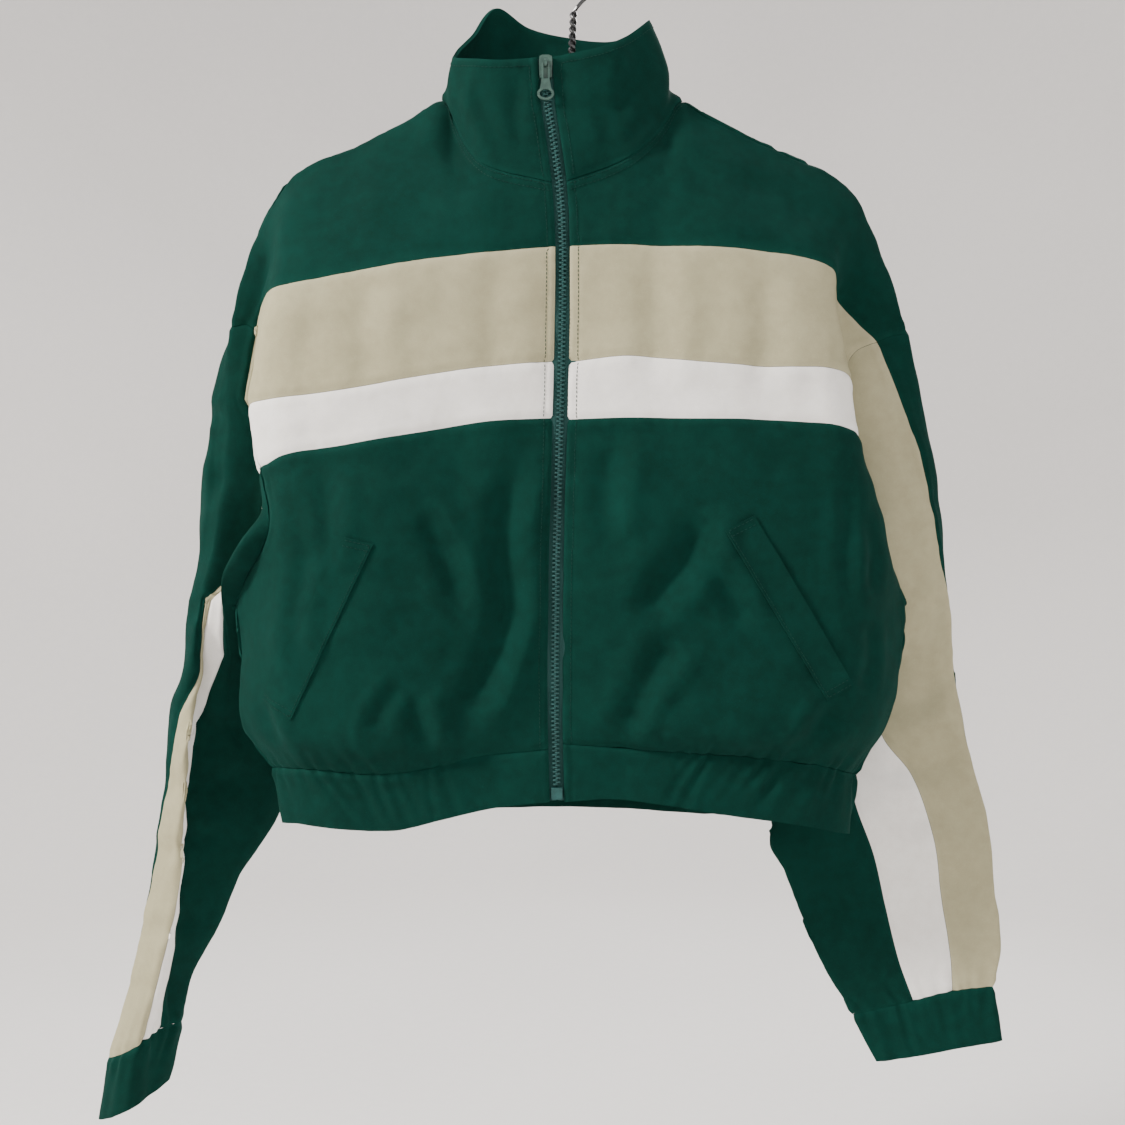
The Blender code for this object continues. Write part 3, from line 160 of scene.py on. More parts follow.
rightSleeve = (
    # cells, over, lobe, step, under, bow, green, sage, white
    (1, (-279, 5, -320), (-271, -13, -383), (-266, -18, -446), (-273, 6, -510), (-6, 24),
     .50, .66, .80),
    (1, (-289, 9, -366), (-281, -8, -422), (-277, -8, -478), (-277, 15, -533), (-7, 25),
     .55, .70, .83),
    (1, (-298, 14, -415), (-290, -4, -462), (-284, 2, -509), (-279, 27, -556), (-8, 26),
     .60, .74, .86),
    (1, (-303, 17, -460), (-294, 1, -503), (-284, 14, -546), (-272, 43, -588), (-6, 24),
     .56, .71, .83),
    (2, (-308, 20, -508), (-296, 5, -545), (-282, 26, -583), (-262, 58, -620), (-4, 22),
     .42, .60, .77),
    (2, (-321, 24, -585), (-294, -2, -600), (-298, 34, -624), (-240, 72, -652), (0, 24),
     .12, .40, .62),
    (2, (-331, 26, -645), (-303, -2, -648), (-309, 32, -662), (-253, 74, -688), (0, 24),
     .05, .34, .56),
    (1, (-337, 26, -705), (-307, -2, -703), (-313, 32, -713), (-274, 66, -722), (0, 22),
     .04, .34, .56),
    (1, (-344, 26, -753), (-312, 0, -747), (-319, 30, -758), (-292, 56, -766), (0, 20),
     .03, .36, .56),
    (1, (-354, 26, -796), (-321, 2, -791), (-327, 27, -801), (-314, 48, -809), (0, 16),
     .02, .40, .60),
    (0, (-372, 24, -866), (-342, 4, -849), (-333, 20, -843), (-319, 38, -843), (0, 12),
     .0, .55, .75),
)
leftSleeve = (
    # cells, over, lobe, step, under, bow, green, sage, white
    (1, (284, 16, -400), (278, -4, -450), (266, -8, -496), (264, 6, -506), (8, 28),
     .26, .70, .82),
    (1, (294, 22, -452), (283, 9, -489), (267, 14, -527), (255, 31, -545), (6, 24),
     .14, .74, .86),
    (2, (299, 26, -493), (282, 25, -528), (259, 36, -563), (232, 54, -595), (4, 18),
     .03, .72, .85),
    (1, (308, 30, -558), (268, 38, -591), (222, 48, -630), (168, 59, -674), (2, 15),
     -.03, .42, .62),
    (1, (322, 32, -618), (281, 40, -640), (227, 48, -672), (161, 57, -702), (0, 13),
     -.04, .30, .58),
    (1, (336, 34, -679), (289, 40, -697), (238, 48, -710), (173, 56, -724), (0, 13),
     -.05, .28, .57),
    (1, (344, 34, -737), (302, 41, -746), (250, 47, -754), (186, 54, -760), (0, 12),
     -.05, .29, .57),
    (1, (349, 34, -780), (313, 39, -790), (257, 45, -799), (201, 52, -796), (0, 12),
     -.05, .30, .57),
    (0, (343, 34, -813), (308, 37, -818), (268, 40, -829), (227, 46, -840), (0, 12),
     -.05, .31, .58),
)
headCells = {"right": 1, "left": 2}    # strips of mesh from the armhole to the first ring
rightCuff = ((-379, 22, -914), (-349, 2, -899), (-338, 18, -894), (-329, 34, -888), (0, 10))
leftCuff = ((344, 32, -856), (311, 32, -862), (275, 34, -870), (246, 40, -876), (0, 10))

# Fractions of the way from a seam to the back's middle at which its side and blade lie, and of a
# sleeve's ring at which the layer behind is held low and high.
shape = {"zipHalfGap": 5.4, "wireDrop": 4.0, "wireHalf": 3.2, "spine": -9, "spineOut": 1,
         "backSide": 0.16, "backBlade": 0.6, "ringLow": 0.68, "ringHigh": 0.28, "ringPoints": 60}


def point(values):
    return np.array(values, dtype=float)


def smooth(knots, points, places):
    # reads a smooth curve through the points at the given places along the knots
    steps = np.diff(knots)
    slopes = np.diff(points, axis=0) / steps[:, None]
    tangents = np.empty_like(points)
    tangents[0] = slopes[0]
    tangents[-1] = slopes[-1]
    before = steps[:-1, None]
    after = steps[1:, None]
    tangents[1:-1] = (slopes[:-1] * after + slopes[1:] * before) / (before + after)
    i = np.clip(np.searchsorted(knots, places, side="right") - 1, 0, len(steps) - 1)
    h = steps[i][:, None]
    s = (places - knots[i])[:, None] / h
    return ((1 + 2 * s) * (1 - s) ** 2 * points[i] + s * (1 - s) ** 2 * h * tangents[i]
            + s * s * (3 - 2 * s) * points[i + 1] + s * s * (s - 1) * h * tangents[i + 1])


def along(points):
    # distance along a line to each of its points
    steps = np.linalg.norm(np.diff(points, axis=0), axis=1)
    return np.concatenate(([0.0], np.cumsum(steps)))


def through(points, cells):
    # points on a smooth curve through the given ones, with so many cells between each two
    points = np.array([point(p) for p in points])
    knots = along(points)
    places = [knots[0]]
    for i, count in enumerate(cells):
        for step in range(1, count + 1):
            places.append(knots[i] + (knots[i + 1] - knots[i]) * step / count)
    return smooth(knots, points, point(places))


def evenly(points, parts):
    # a smooth curve with the same number of cells between each two points
    return through(points, [parts] * (len(points) - 1))


def zipMiddle(z):
    heights = [-row[0] for row in zipLine]
    x, y = (np.interp(-z, heights, [row[n] for row in zipLine]) for n in (1, 2))
    return point((x, y, z))


def zipEdge(side, z):
    sign = -1 if side == "right" else 1
    return zipMiddle(z) + point((sign * shape["zipHalfGap"], 0, 0))


def zipToZip(z, table, columns, parts):
    # smooth line round the body through a table of columns, from one edge of the zip to the other
    places = [0] + [row[0] for row in table] + [columns]
    stations = [zipEdge("right", z)] + [row[1:] for row in table] + [zipEdge("left", z)]
    return through(stations, np.diff(places) * parts)


def loft(rows, cells):
    # join rows of points by smooth curves down every column
    rows = np.array(rows)
    columns = [through(rows[:, j], cells) for j in range(rows.shape[1])]
    return np.array(columns).transpose(1, 0, 2)


def overWire(top, first, last, sign):
    # row just under the top one: the columns on the shoulder round over the hanger's wire
    row = top + point((0, 0, -shape["wireDrop"]))
    row[first:last + 1, 1] += sign * shape["wireHalf"]
    return row


def frontGrid(side, table):
    # grid of one front from its rows: rows go down, columns from the zip to the seam
    rows = []
    for name, _, zipZ, chest, neck, *rest in table:
        edge = zipEdge(side, zipZ)
        if name == "shoulder":
            neckSeam = through((edge, chest, neck), frontCells[:2])
            ridge = through((neck, *rest), frontCells[2:])
            rows.append(np.concatenate((neckSeam, ridge[1:])))
        else:
            rows.append(through((edge, chest, neck, *rest), frontCells))
    rows.insert(1, overWire(rows[0], sum(frontCells[:2]), sum(frontCells), -1))
    grid = loft(rows, [1] + [row[1] for row in table[:-1]])
    for row in grid:
        row[0] = zipEdge(side, row[0][2])
    return grid


def rowIndex(table, name):
    # grid row at which a named row of a table lies. One row is added under the first
    total = 0
    for row in table:
        if row[0] == name:
            return total
        total += row[1] + (1 if row[0] == "shoulder" else 0)
    raise ValueError(name)


def backGrid(rightGrid, leftGrid):
    # grid of the back, columns from the right seam to the left one
    neckColumn = sum(frontCells[:2])
    underarm = rowIndex(rightFront, "underarm")
    backUnderarm = rowIndex(backRows, "underarm")
    neck = through(backNeck, (1, 1, 2, 2, 1, 1))
    neckFirst = sum(frontCells[2:])
    top = np.concatenate((rightGrid[0][neckColumn:][::-1], neck[1:-1],
                          leftGrid[0][neckColumn:]))
    rows = [top]
    for name, _, side, blade, centre, rightSeam, leftSeam in backRows[1:]:
        if rightSeam is None:
            place = underarm + rowIndex(backRows, name) - backUnderarm
            rightSeam = rightGrid[place][-1]
            leftSeam = leftGrid[place][-1]
        middle = point((shape["spine"], blade + shape["spineOut"], centre))
        halves = []
        for seam in (point(rightSeam), point(leftSeam)):
            spots = [seam]
            for share, depth in ((shape["backSide"], side), (shape["backBlade"], blade)):
                spot = seam + (middle - seam) * share
                spot[1] = depth
                spots.append(spot)
            halves.append(spots)
        rows.append(through((*halves[0], middle, *halves[1][::-1]), backCells + backCells[::-1]))
    hang = overWire(top, 0, len(top) - 1, 1)
    hang[neckFirst + 1:-neckFirst - 1, 1] -= shape["wireHalf"]
    rows.insert(1, hang)
    grid = loft(rows, [1] + [row[1] for row in backRows[:-1]])
    for step in range(len(grid) - backUnderarm):
        grid[backUnderarm + step][0] = rightGrid[underarm + step][-1]
        grid[backUnderarm + step][-1] = leftGrid[underarm + step][-1]
    return grid


def ringCurves(over, lobe, step, under, bow):
    # dense front and back layers of a flattened sleeve ring, each from over to under
    over, lobe, step, under = (point(p) for p in (over, lobe, step, under))
    low = over + (under - over) * shape["ringLow"] + point((bow[0], bow[1], 0))
    high = over + (under - over) * shape["ringHigh"] + point((bow[0] / 2, bow[1], 0))
    loop = np.array((high, over, lobe, step, under, low, high, over, lobe))
    knots = along(loop)
    front, back = (smooth(knots, loop, np.linspace(knots[a], knots[b], shape["ringPoints"]))
                   for a, b in ((1, 4), (4, 7)))
    return front, back[::-1]


def readRing(front, back, place):
    # point of a ring: 0 at over, 1 at under by the front, -1 at under by the back
    line = front if place >= 0 else back
    lengths = along(line)
    target = abs(place) * lengths[-1]
    return np.array([np.interp(target, lengths, line[:, k]) for k in range(3)])


def ringPlaces(cells, green, sage, white):
    # places of a sleeve's columns on its rings, from the shoulder round by the front
    top, sageCells, whiteCells, underCells, behindCells = cells
    roundTop = np.linspace(-1, green, behindCells + top + 1)
    return np.concatenate((roundTop[behindCells:-1],
                           np.linspace(green, sage, sageCells + 1)[:-1],
                           np.linspace(sage, white, whiteCells + 1)[:-1],
                           np.linspace(white, 1, underCells + 1)[:-1],
                           roundTop[:behindCells]))


def sleeveGrid(table, armhole, cells, headParts):
    # grid of a sleeve from the armhole down. Its columns close into a ring
    rows = [armhole]
    for _, over, lobe, step, under, bow, *lines in table:
        front, back = ringCurves(over, lobe, step, under, bow)
        rows.append(np.array([readRing(front, back, place)
                              for place in ringPlaces(cells, *lines)]))
    grid = loft(rows, [headParts] + [row[0] for row in table[:-1]])
    return np.roll(grid, -cells[0], axis=1)


def directions(grid, axis, closed):
    # unit direction of the grid's lines at each point, halfway between both sides of a bend
    if closed and axis == 1:
        ahead = np.roll(grid, -1, axis=1) - grid
        behind = np.roll(ahead, 1, axis=1)
    else:
        steps = np.diff(grid, axis=axis)
        ahead = np.concatenate((steps, np.take(steps, [-1], axis=axis)), axis=axis)
        behind = np.concatenate((np.take(steps, [0], axis=axis), steps), axis=axis)
    both = ahead / np.linalg.norm(ahead, axis=2)[:, :, None]
    both = both + behind / np.linalg.norm(behind, axis=2)[:, :, None]
    return both / np.maximum(np.linalg.norm(both, axis=2), 1e-9)[:, :, None]


def arcs(grid, axis):
    # distance along the grid's lines to each of their points
    steps = np.linalg.norm(np.diff(grid, axis=axis), axis=2)
    total = np.cumsum(steps, axis=axis)
    start = np.zeros_like(np.take(total, [0], axis=axis))
    return np.concatenate((start, total), axis=axis)


class Sheet:
    # a fine grid of points on the cloth's outer face, with the side that faces out
    def __init__(self, grid, closed, flip, thick):
        self.grid = grid
        self.closed = closed
        self.flip = flip
        self.thick = thick
        normals = np.cross(directions(grid, 0, closed), directions(grid, 1, closed))
        if flip:
            normals = -normals
        lengths = np.maximum(np.linalg.norm(normals, axis=2), 1e-9)
        self.normals = normals / lengths[:, :, None]

    def push(self, amounts):
        # moves the points out along their normals
        self.grid = self.grid + self.normals * amounts[:, :, None]

    def measure(self):
        # distances down and across the cloth, from which its pieces' flat cut follows
        self.down = arcs(self.grid, 0)
        self.across = arcs(self.grid, 1)


def refine(grid, rowParts, columnParts, closed=False):
    # smooth curves through a coarse grid, down its columns and then along its rows
    width = grid.shape[1]
    grid = loft(grid, [rowParts] * (len(grid) - 1))
    if closed:
        grid = np.concatenate((grid[:, -3:], grid, grid[:, :4]), axis=1)
    grid = np.array([evenly(row, columnParts) for row in grid])
    if closed:
        grid = grid[:, 3 * columnParts:(3 + width) * columnParts]
    return grid


def collarGrid(coarse):
    # the collar's rows: top edge, middle and the fine neck seam of fronts and back
    k = fine["body"]
    neck = sum(frontCells[:2]) * k
    shoulder = sum(frontCells[2:]) * k
    right, back, left = (evenly(coarse[name][0], k) for name in ("right", "back", "left"))
    seam = np.concatenate((right[:neck], back[shoulder:-shoulder], left[:neck][::-1]))
    # the collar's tables count two columns to each coarse one
    columns = (len(seam) - 1) // k * 2
    topZ = zipLine[0][0]
    middleZ = (topZ + seam[0][2]) / 2
    rows = [zipToZip(z, table, columns, k // 2)
            for z, table in ((topZ, collarTop), (middleZ, collarMiddle))]
    half = fine["collarRows"] // 2
    grid = loft(rows + [seam], (half, half))
    for row in grid:
        row[0] = zipEdge("right", row[0][2])
        row[-1] = zipEdge("left", row[-1][2])
    return grid


def between(top, foot, rows):
    # rows of points that run straight from the top one to the foot
    return np.array([top + (foot - top) * share for share in np.linspace(0, 1, rows + 1)])


def hemGrid(coarse):
    # the hem band, from the body's lower edge down to its own foot
    k = fine["body"]
    right, back, left = (evenly(coarse[name][-1], k) for name in ("right", "back", "left"))
    seam = np.concatenate((right[:-1], back, left[:-1][::-1]))
    foot = zipToZip(zipLine[-1][0], hemFoot, (len(seam) - 1) // k, k)
    return between(seam, foot, fine["hemRows"])


# How the sleeve's bands fold in beside the body. At each height, how far five lines move in x and
# y: green to sage, sage to white, white to green, the middle of the under part, and under to back.
bandFolds = {
    "right": (
        (-345, (0, 0), (0, 0), (0, 0), (0, 0), (0, 0)),
        (-360, (10, 10), (6, 5), (0, 0), (0, 0), (0, 0)),
        (-400, (22, 23), (19, 18), (9, 9), (-3, -2), (0, 0)),
        (-440, (25, 27), (21, 21), (13, 12), (-8, -7), (0, 0)),
        (-462, (22, 24), (20, 19), (13, 12), (-9, -9), (3, 1)),
        (-480, (13, 16), (14, 14), (9, 9), (-8, -8), (8, 3)),
        (-500, (-5, 3), (-6, 4), (0, 2), (-3, -4), (15, 6)),
        (-520, (-8, 0), (-9, 2), (1, 0), (2, 0), (20, 8)),
        (-545, (-8, 0), (-18, 2), (1, 0), (6, 0), (22, 8)),
        (-575, (-5, 0), (-24, 0), (-18, 0), (-4, 0), (18, 7)),
        (-600, (0, 0), (-15, 0), (-34, 2), (-16, 0), (10, 4)),
        (-620, (3, 0), (-10, 0), (-30, 2), (-12, 0), (4, 2)),
        (-650, (4, 0), (-3, 0), (-16, 0), (-5, 0), (0, 0)),
        (-700, (2, 0), (0, 0), (-8, 0), (0, 0), (0, 0)),
        (-740, (0, 0), (0, 0), (-4, 0), (0, 0), (0, 0)),
        (-770, (0, 0), (0, 0), (0, 0), (0, 0), (0, 0)),
    ),
    "left": (
        (-345, (0, 0), (0, 0), (0, 0), (0, 0), (0, 0)),
        (-385, (0, 0), (-8, 3), (-3, 2), (-2, 0), (-2, 0)),
        (-417, (-2, 0), (-20, 8), (-10, 7), (-6, 2), (-9, 0)),
        (-447, (-3, 0), (-27, 9), (-24, 8), (-14, 4), (-19, 0)),
        (-478, (-2, 0), (-29, 8), (-28, 8), (-18, 5), (-21, 0)),
        (-500, (0, 0), (-22, 5), (-22, 6), (-14, 3), (-16, 0)),
        (-524, (2, 3), (-10, 1), (-12, 2), (-6, 1), (-8, 0)),
        (-560, (4, 5), (-2, 0), (-5, 0), (0, 0), (0, 0)),
        (-620, (4, 5), (0, 0), (0, 0), (0, 0), (0, 0)),
        (-700, (3, 4), (0, 0), (0, 0), (0, 0), (0, 0)),
        (-780, (0, 2), (0, 0), (0, 0), (0, 0), (0, 0)),
        (-813, (0, 0), (0, 0), (0, 0), (0, 0), (0, 0)),
    ),
}


def ease(share):
    # runs softly from 0 to 1
    share = np.clip(share, 0, 1)
    return share * share * (3 - 2 * share)


# Columns before the first line and after the last one in which a band's fold dies away, the share
# of the nearest line's move that is left there, and the way down from the armhole to a full move.
foldLook = {"before": (-60, -22), "beforeShare": 0.3, "after": (30, 60), "afterShare": 0.4,
            "fadeIn": 22}


def foldBands(grid, table, cells):
    # moves the fine grid's columns as the table says, smoothly from line to line
    sage, white, under = np.cumsum([c * fine["body"] for c in cells[1:4]])
    width = grid.shape[1]
    stops = (*foldLook["before"], 0, sage, white, (white + under) / 2, under,
             *(under + step for step in foldLook["after"]))
    heights = [-row[0] for row in table]
    folded = grid.copy()
    for j in range(width):
        place = j if j <= stops[-1] else j - width
        if place < stops[0]:
            continue
        z = -grid[:, j, 2]
        # nothing moves at the armhole's seam
        free = ease(along(grid[:, j]) / foldLook["fadeIn"])
        step = max(n for n in range(len(stops) - 1) if place >= stops[n])
        share = ease((place - stops[step]) / (stops[step + 1] - stops[step]))
        for axis in (0, 1):
            lines = [np.interp(z, heights, [row[n][axis] for row in table])
                     for n in range(1, len(table[0]))]
            values = [0 * z, foldLook["beforeShare"] * lines[0], *lines,
                      foldLook["afterShare"] * lines[-1], 0 * z]
            folded[:, j, axis] += free * (values[step] * (1 - share) + values[step + 1] * share)
    return folded


def cuffGrid(sleeve, footRow, cells, shares):
    # a cuff, from the sleeve's end down to its own foot
    k = fine["body"]
    front, back = ringCurves(*footRow)
    places = ringPlaces([c * k for c in cells], *shares)
    foot = np.array([readRing(front, back, place) for place in places])
    foot = np.roll(foot, -cells[0] * k, axis=0)
    return between(sleeve[-1], foot, fine["cuffRows"])


def sleeveCells():
    # columns of the sleeve's bands, which match the rows of the fronts and of the back
    rows = [rowIndex(rightFront, name) for name in
            ("shoulder", "green_sage", "sage_white", "white_green", "underarm")]
    return [int(c) for c in np.diff(rows)] + [rowIndex(backRows, "underarm")]


def makeSheets():
    k = fine["body"]
    coarse = {"right": frontGrid("right", rightFront), "left": frontGrid("left", leftFront)}
    coarse["back"] = backGrid(coarse["right"], coarse["left"])
    sheets = {}
    for name, flip in (("right", True), ("left", False), ("back", True)):
        grid = refine(coarse[name], k, k)
        if name != "back":
            for row in grid:
                row[0] = zipEdge(name, row[0][2])
        sheets[name] = Sheet(grid, False, flip, cloth["fleece"])
    sheets["collar"] = Sheet(collarGrid(coarse), False, True, cloth["doubled"])
    sheets["hem"] = Sheet(hemGrid(coarse), False, True, cloth["doubled"])
    underarm = rowIndex(rightFront, "underarm")
    backUnderarm = rowIndex(backRows, "underarm")
    cells = sleeveCells()
    for side, table, cuff in (("right", rightSleeve, rightCuff), ("left", leftSleeve, leftCuff)):
        column = 0 if side == "right" else -1
        armhole = np.concatenate((coarse[side][:underarm, -1],
                                  coarse["back"][1:backUnderarm + 1, column][::-1]))
        grid = sleeveGrid(table, armhole, cells, headCells[side])
        grid = refine(grid, fine["sleeveRows"], k, True)
        grid = foldBands(grid, bandFolds[side], cells)
        sheets["sleeve_" + side] = Sheet(grid, True, side == "left", cloth["fleece"])
        foot = cuffGrid(grid, cuff, cells, table[-1][6:])
        sheets["cuff_" + side] = Sheet(foot, True, side == "left", cloth["doubled"])
    return sheets


def shareSeams(sheets, near=0.6):
    # where sheets meet, nearer than this, they get one common normal
    spots = []
    for sheet in sheets.values():
        rows, columns = sheet.grid.shape[:2]
        border = [(i, j) for i in (0, rows - 1) for j in range(columns)]
        if not sheet.closed:
            border += [(i, j) for j in (0, columns - 1) for i in range(rows)]
        spots += [(sheet, i, j) for i, j in border]
    tree = kdtree.KDTree(len(spots))
    for n, (sheet, i, j) in enumerate(spots):
        tree.insert(sheet.grid[i, j], n)
    tree.balance()
    common = []
    for sheet, i, j in spots:
        met = [spots[n] for _, n, _ in tree.find_range(sheet.grid[i, j], near)]
        total = sum(s.normals[a, b] for s, a, b in met)
        common.append(total / np.linalg.norm(total))
    for (sheet, i, j), normal in zip(spots, common):
        sheet.normals[i, j] = normal


# Creases. "facing": how fast one dies away where the cloth turns from the view. "reach": half
# widths that it acts on. "ends": share of its length over which it starts and stops, from "least"
# of its depth. Beside it a ridge stands up, higher on one side.
creaseLook = {"facing": 2.5, "reach": 5, "ends": 0.25, "least": 0.15, "ridge": 0.35, "lean": 0.2,
              "ridgeAt": 1.9, "ridgeWide": 0.9, "dense": 6, "front": 1.3, "back": 1.35,
              "armhole": 14}
# Unevenness of the cloth: a random seed, then waves of a length, a height and a count.
waveLook = {"stretch": (0.7, 1.4), "turn": 6.28, "calm": 0.6,
            "cloth": (5, ((95, 1.5, 6), (38, 0.55, 8), (17, 0.10, 10))),
            "edge": (31, ((8.5, 1.0, 7), (16, 0.8, 5))),
            "welt": (9, ((26, 0.22, 6), (9, 0.10, 8))),
            "tape": (13, ((30, 0.10, 6), (9, 0.05, 6)))}


def lineDistance(spots, line):
    # distance of flat spots to a line of points, how far along it the nearest place is, and on
    # which side
    line = np.array(line, dtype=float)
    dense = evenly(np.column_stack((line, np.zeros(len(line)))), creaseLook["dense"])[:, :2]
    lengths = along(dense)
    best = np.full(len(spots), np.inf)
    share = np.zeros(len(spots))
    side = np.zeros(len(spots))
    for a, b, start, end in zip(dense[:-1], dense[1:], lengths[:-1], lengths[1:]):
        run = b - a
        t = np.clip((spots - a) @ run / (run @ run), 0, 1)
        off = spots - a - t[:, None] * run
        distance = np.hypot(off[:, 0], off[:, 1])
        nearer = distance < best
        best[nearer] = distance[nearer]
        share[nearer] = (start + (end - start) * t[nearer]) / lengths[-1]
        side[nearer] = np.sign(run[0] * off[nearer, 1] - run[1] * off[nearer, 0])
    return best, share, side


def creaseRelief(sheet, creases, towards):
    # soft troughs with a low ridge on each side. towards: the way a spot has to face
    look = creaseLook
    points = sheet.grid.reshape(-1, 3)
    normals = sheet.normals.reshape(-1, 3)
    facing = np.clip(normals @ np.array(towards, dtype=float) * look["facing"], 0, 1)
    total = np.zeros(len(points))
    for halfWidth, depth, line in creases:
        spots = points[:, [0, 2]]
        low = np.min(line, axis=0) - look["reach"] * halfWidth
        high = np.max(line, axis=0) + look["reach"] * halfWidth
        near = ((spots > low) & (spots < high)).all(axis=1)
        if not near.any():
            continue
        distance, share, side = lineDistance(spots[near], line)
        ends = [np.clip(left / look["ends"], 0, 1) for left in (share, 1 - share)]
        taper = ease(ends[0] * ends[1])
        trough = np.exp(-(distance / halfWidth) ** 2)
        ridge = np.exp(-((distance - look["ridgeAt"] * halfWidth)
                         / (look["ridgeWide"] * halfWidth)) ** 2)
        total[near] -= (depth * (look["least"] + (1 - look["least"]) * taper)
                        * (trough - (look["ridge"] + look["lean"] * side) * ridge))
    return (total * facing).reshape(sheet.grid.shape[:2])


def waves(sheet, kind):
    # gentle unevenness of cloth that hangs: a sum of slow waves
    seed, kinds = waveLook[kind]
    points = sheet.grid.reshape(-1, 3)
    draw = np.random.default_rng(seed)
    total = np.zeros(len(points))
    for length, height, count in kinds:
        for _ in range(count):
            way = draw.normal(size=3)
            way = way / np.linalg.norm(way) * 2 * math.pi
            way = way / (length * draw.uniform(*waveLook["stretch"]))
            start = draw.uniform(0, waveLook["turn"])
            total += height / math.sqrt(count) * np.sin(points @ way + start)
    return total.reshape(sheet.grid.shape[:2])


def drawGathers(start, stop, spacing, seed):
    # place, lean, width, depth and reach of narrow folds along a gathered seam
    draw = np.random.default_rng(seed)
    folds = []
    place = start
    while place < stop:
        folds.append((place, *(draw.uniform(*span) for span in gatherLook["spans"])))
        place += spacing[len(folds) % len(spacing)] * draw.uniform(*gatherLook["uneven"])
    return folds


def gathered(across, away, folds, reachOut, rest=0.0):
    # relief of the folds. across: distances along the seam. away: distances from it
    look = gatherLook
    total = np.zeros(np.broadcast(across, away).shape)
    for place, lean, wide, deep, reach in folds:
        wider = wide * (1 + away / look["spread"])
        off = across - place - lean * away
        trough = np.exp(-(off / wider) ** 2)
        beside = (np.abs(off) - look["ridgeAt"] * wider) / wider
        trough = trough - look["ridge"] * np.exp(-beside ** 2)
        left = np.exp(-(away / (reachOut * reach)) ** look["fall"])
        total -= deep * trough * (rest + (1 - rest) * left)
    return total


class Socket:
    # one value in a material's nodes, with plain arithmetic
    def __init__(self, tree, output):
        self.tree = tree
        self.output = output

    def node(self, kind, settings=None, values=None, output=0):
        made = self.tree.nodes.new(kind)
        for name, value in (settings or {}).items():
            setattr(made, name, value)
        for name, value in (values or {}).items():
            if isinstance(value, Socket):
                self.tree.links.new(value.output, made.inputs[name])
            else:
                made.inputs[name].default_value = value
        return Socket(self.tree, made.outputs[output])

    def maths(self, operation, *others):
        return self.node("ShaderNodeMath", {"operation": operation},
                         dict(enumerate((self,) + others)))

    def __add__(self, other):
        return self.maths("ADD", other)

    __radd__ = __add__

    def __mul__(self, other):
        return self.maths("MULTIPLY", other)

    __rmul__ = __mul__

    def __sub__(self, other):
        return self.maths("SUBTRACT", other)

    def __rsub__(self, other):
        return self.node("ShaderNodeMath", {"operation": "SUBTRACT"}, {0: other, 1: self})

    def __truediv__(self, other):
        return self.maths("DIVIDE", other)

    def part(self, number):
        return Socket(self.tree, self.output.node.outputs[number])

    def sine(self):
        # of turns, not of radians
        return (self * 2.0 * math.pi).maths("SINE")

    def smoothStep(self, low, high):
        return self.node("ShaderNodeMapRange", {"interpolation_type": "SMOOTHSTEP"},
                         {"Value": self, "From Min": low, "From Max": high})

    def mixTo(self, first, second):
        ends = [end if isinstance(end, Socket) else (*end, 1.0) for end in (first, second)]
        return self.node("ShaderNodeMix", {"data_type": "RGBA"},
                         {"Factor": self, "A": ends[0], "B": ends[1]}, "Result")

    def bump(self, strength, distance):
        return self.node("ShaderNodeBump", {}, {"Height": self, "Strength": strength,
                                                "Distance": distance}, "Normal")


def startMaterial(name):
    made = bpy.data.materials.new(name)
    made.use_nodes = True
    return made, made.node_tree.nodes["Principled BSDF"], Socket(made.node_tree, None)


def feed(shader, **sockets):
    # varying values are linked to the shader, uniform ones set on it
    for name, value in sockets.items():
        target = shader.inputs[name.replace("_", " ")]
        if isinstance(value, Socket):
            value.tree.links.new(value.output, target)
        else:
            target.default_value = value


def place(root, scale=(1, 1, 1)):
    where = root.node("ShaderNodeTexCoord", output="Object")
    return root.node("ShaderNodeMapping", {}, {"Vector": where, "Scale": scale})


def speckle(root, where, scale, detail=3.0, rough=0.55):
    return root.node("ShaderNodeTexNoise", {}, {"Vector": where, "Scale": scale, "Detail": detail,
                                                "Roughness": rough})


def blend(shares, *sockets):
    # sum of the sockets, each with its share
    total = sockets[0] * shares[0]
    for share, socket in zip(shares[1:], sockets[1:]):
        total = total + socket * share
    return total


# Stitch sizes in metres. Noises are scale, detail and roughness. Shares belong to the values in
# the order in which fleeceMaterial blends them.
fleeceLook = {
    "stitchWidth": 0.00125, "stitchHeight": 0.00100, "lean": 1.3, "stitchShare": 0.22,
    "nap": (1500, 2.0, 0.7), "mottle": (120, 4.0, 0.6), "cloud": (14, 3.0, 0.5),
    "lint": (620, 1.0, 0.4), "lintSteps": (0.70, 0.78), "cloudSteps": (0.48, 0.75),
    "tone": (0.38, 0.44, 0.18), "toneSteps": (0.30, 0.70), "rub": (0.30, 0.10, 0.25),
    "height": (0.55, 0.35, 0.6), "bump": (0.55, 0.00022), "roughness": 0.84, "uneven": 0.08,
    "sheen": 0.03, "sheenRoughness": 0.45, "specular": 0.07,
    "green": {"deep": (0.0007, 0.0185, 0.0130), "main": (0.0015, 0.0320, 0.0235),
              "worn": (0.0040, 0.0520, 0.0390), "sheen": (0.25, 0.85, 0.72)},
    "sage": {"deep": (0.325, 0.298, 0.186), "main": (0.385, 0.356, 0.226),
             "worn": (0.465, 0.434, 0.302), "sheen": (0.95, 0.92, 0.80)},
    "white": {"deep": (0.775, 0.745, 0.700), "main": (0.870, 0.845, 0.805),
              "worn": (0.900, 0.880, 0.850), "sheen": (1.0, 0.98, 0.95)},
}


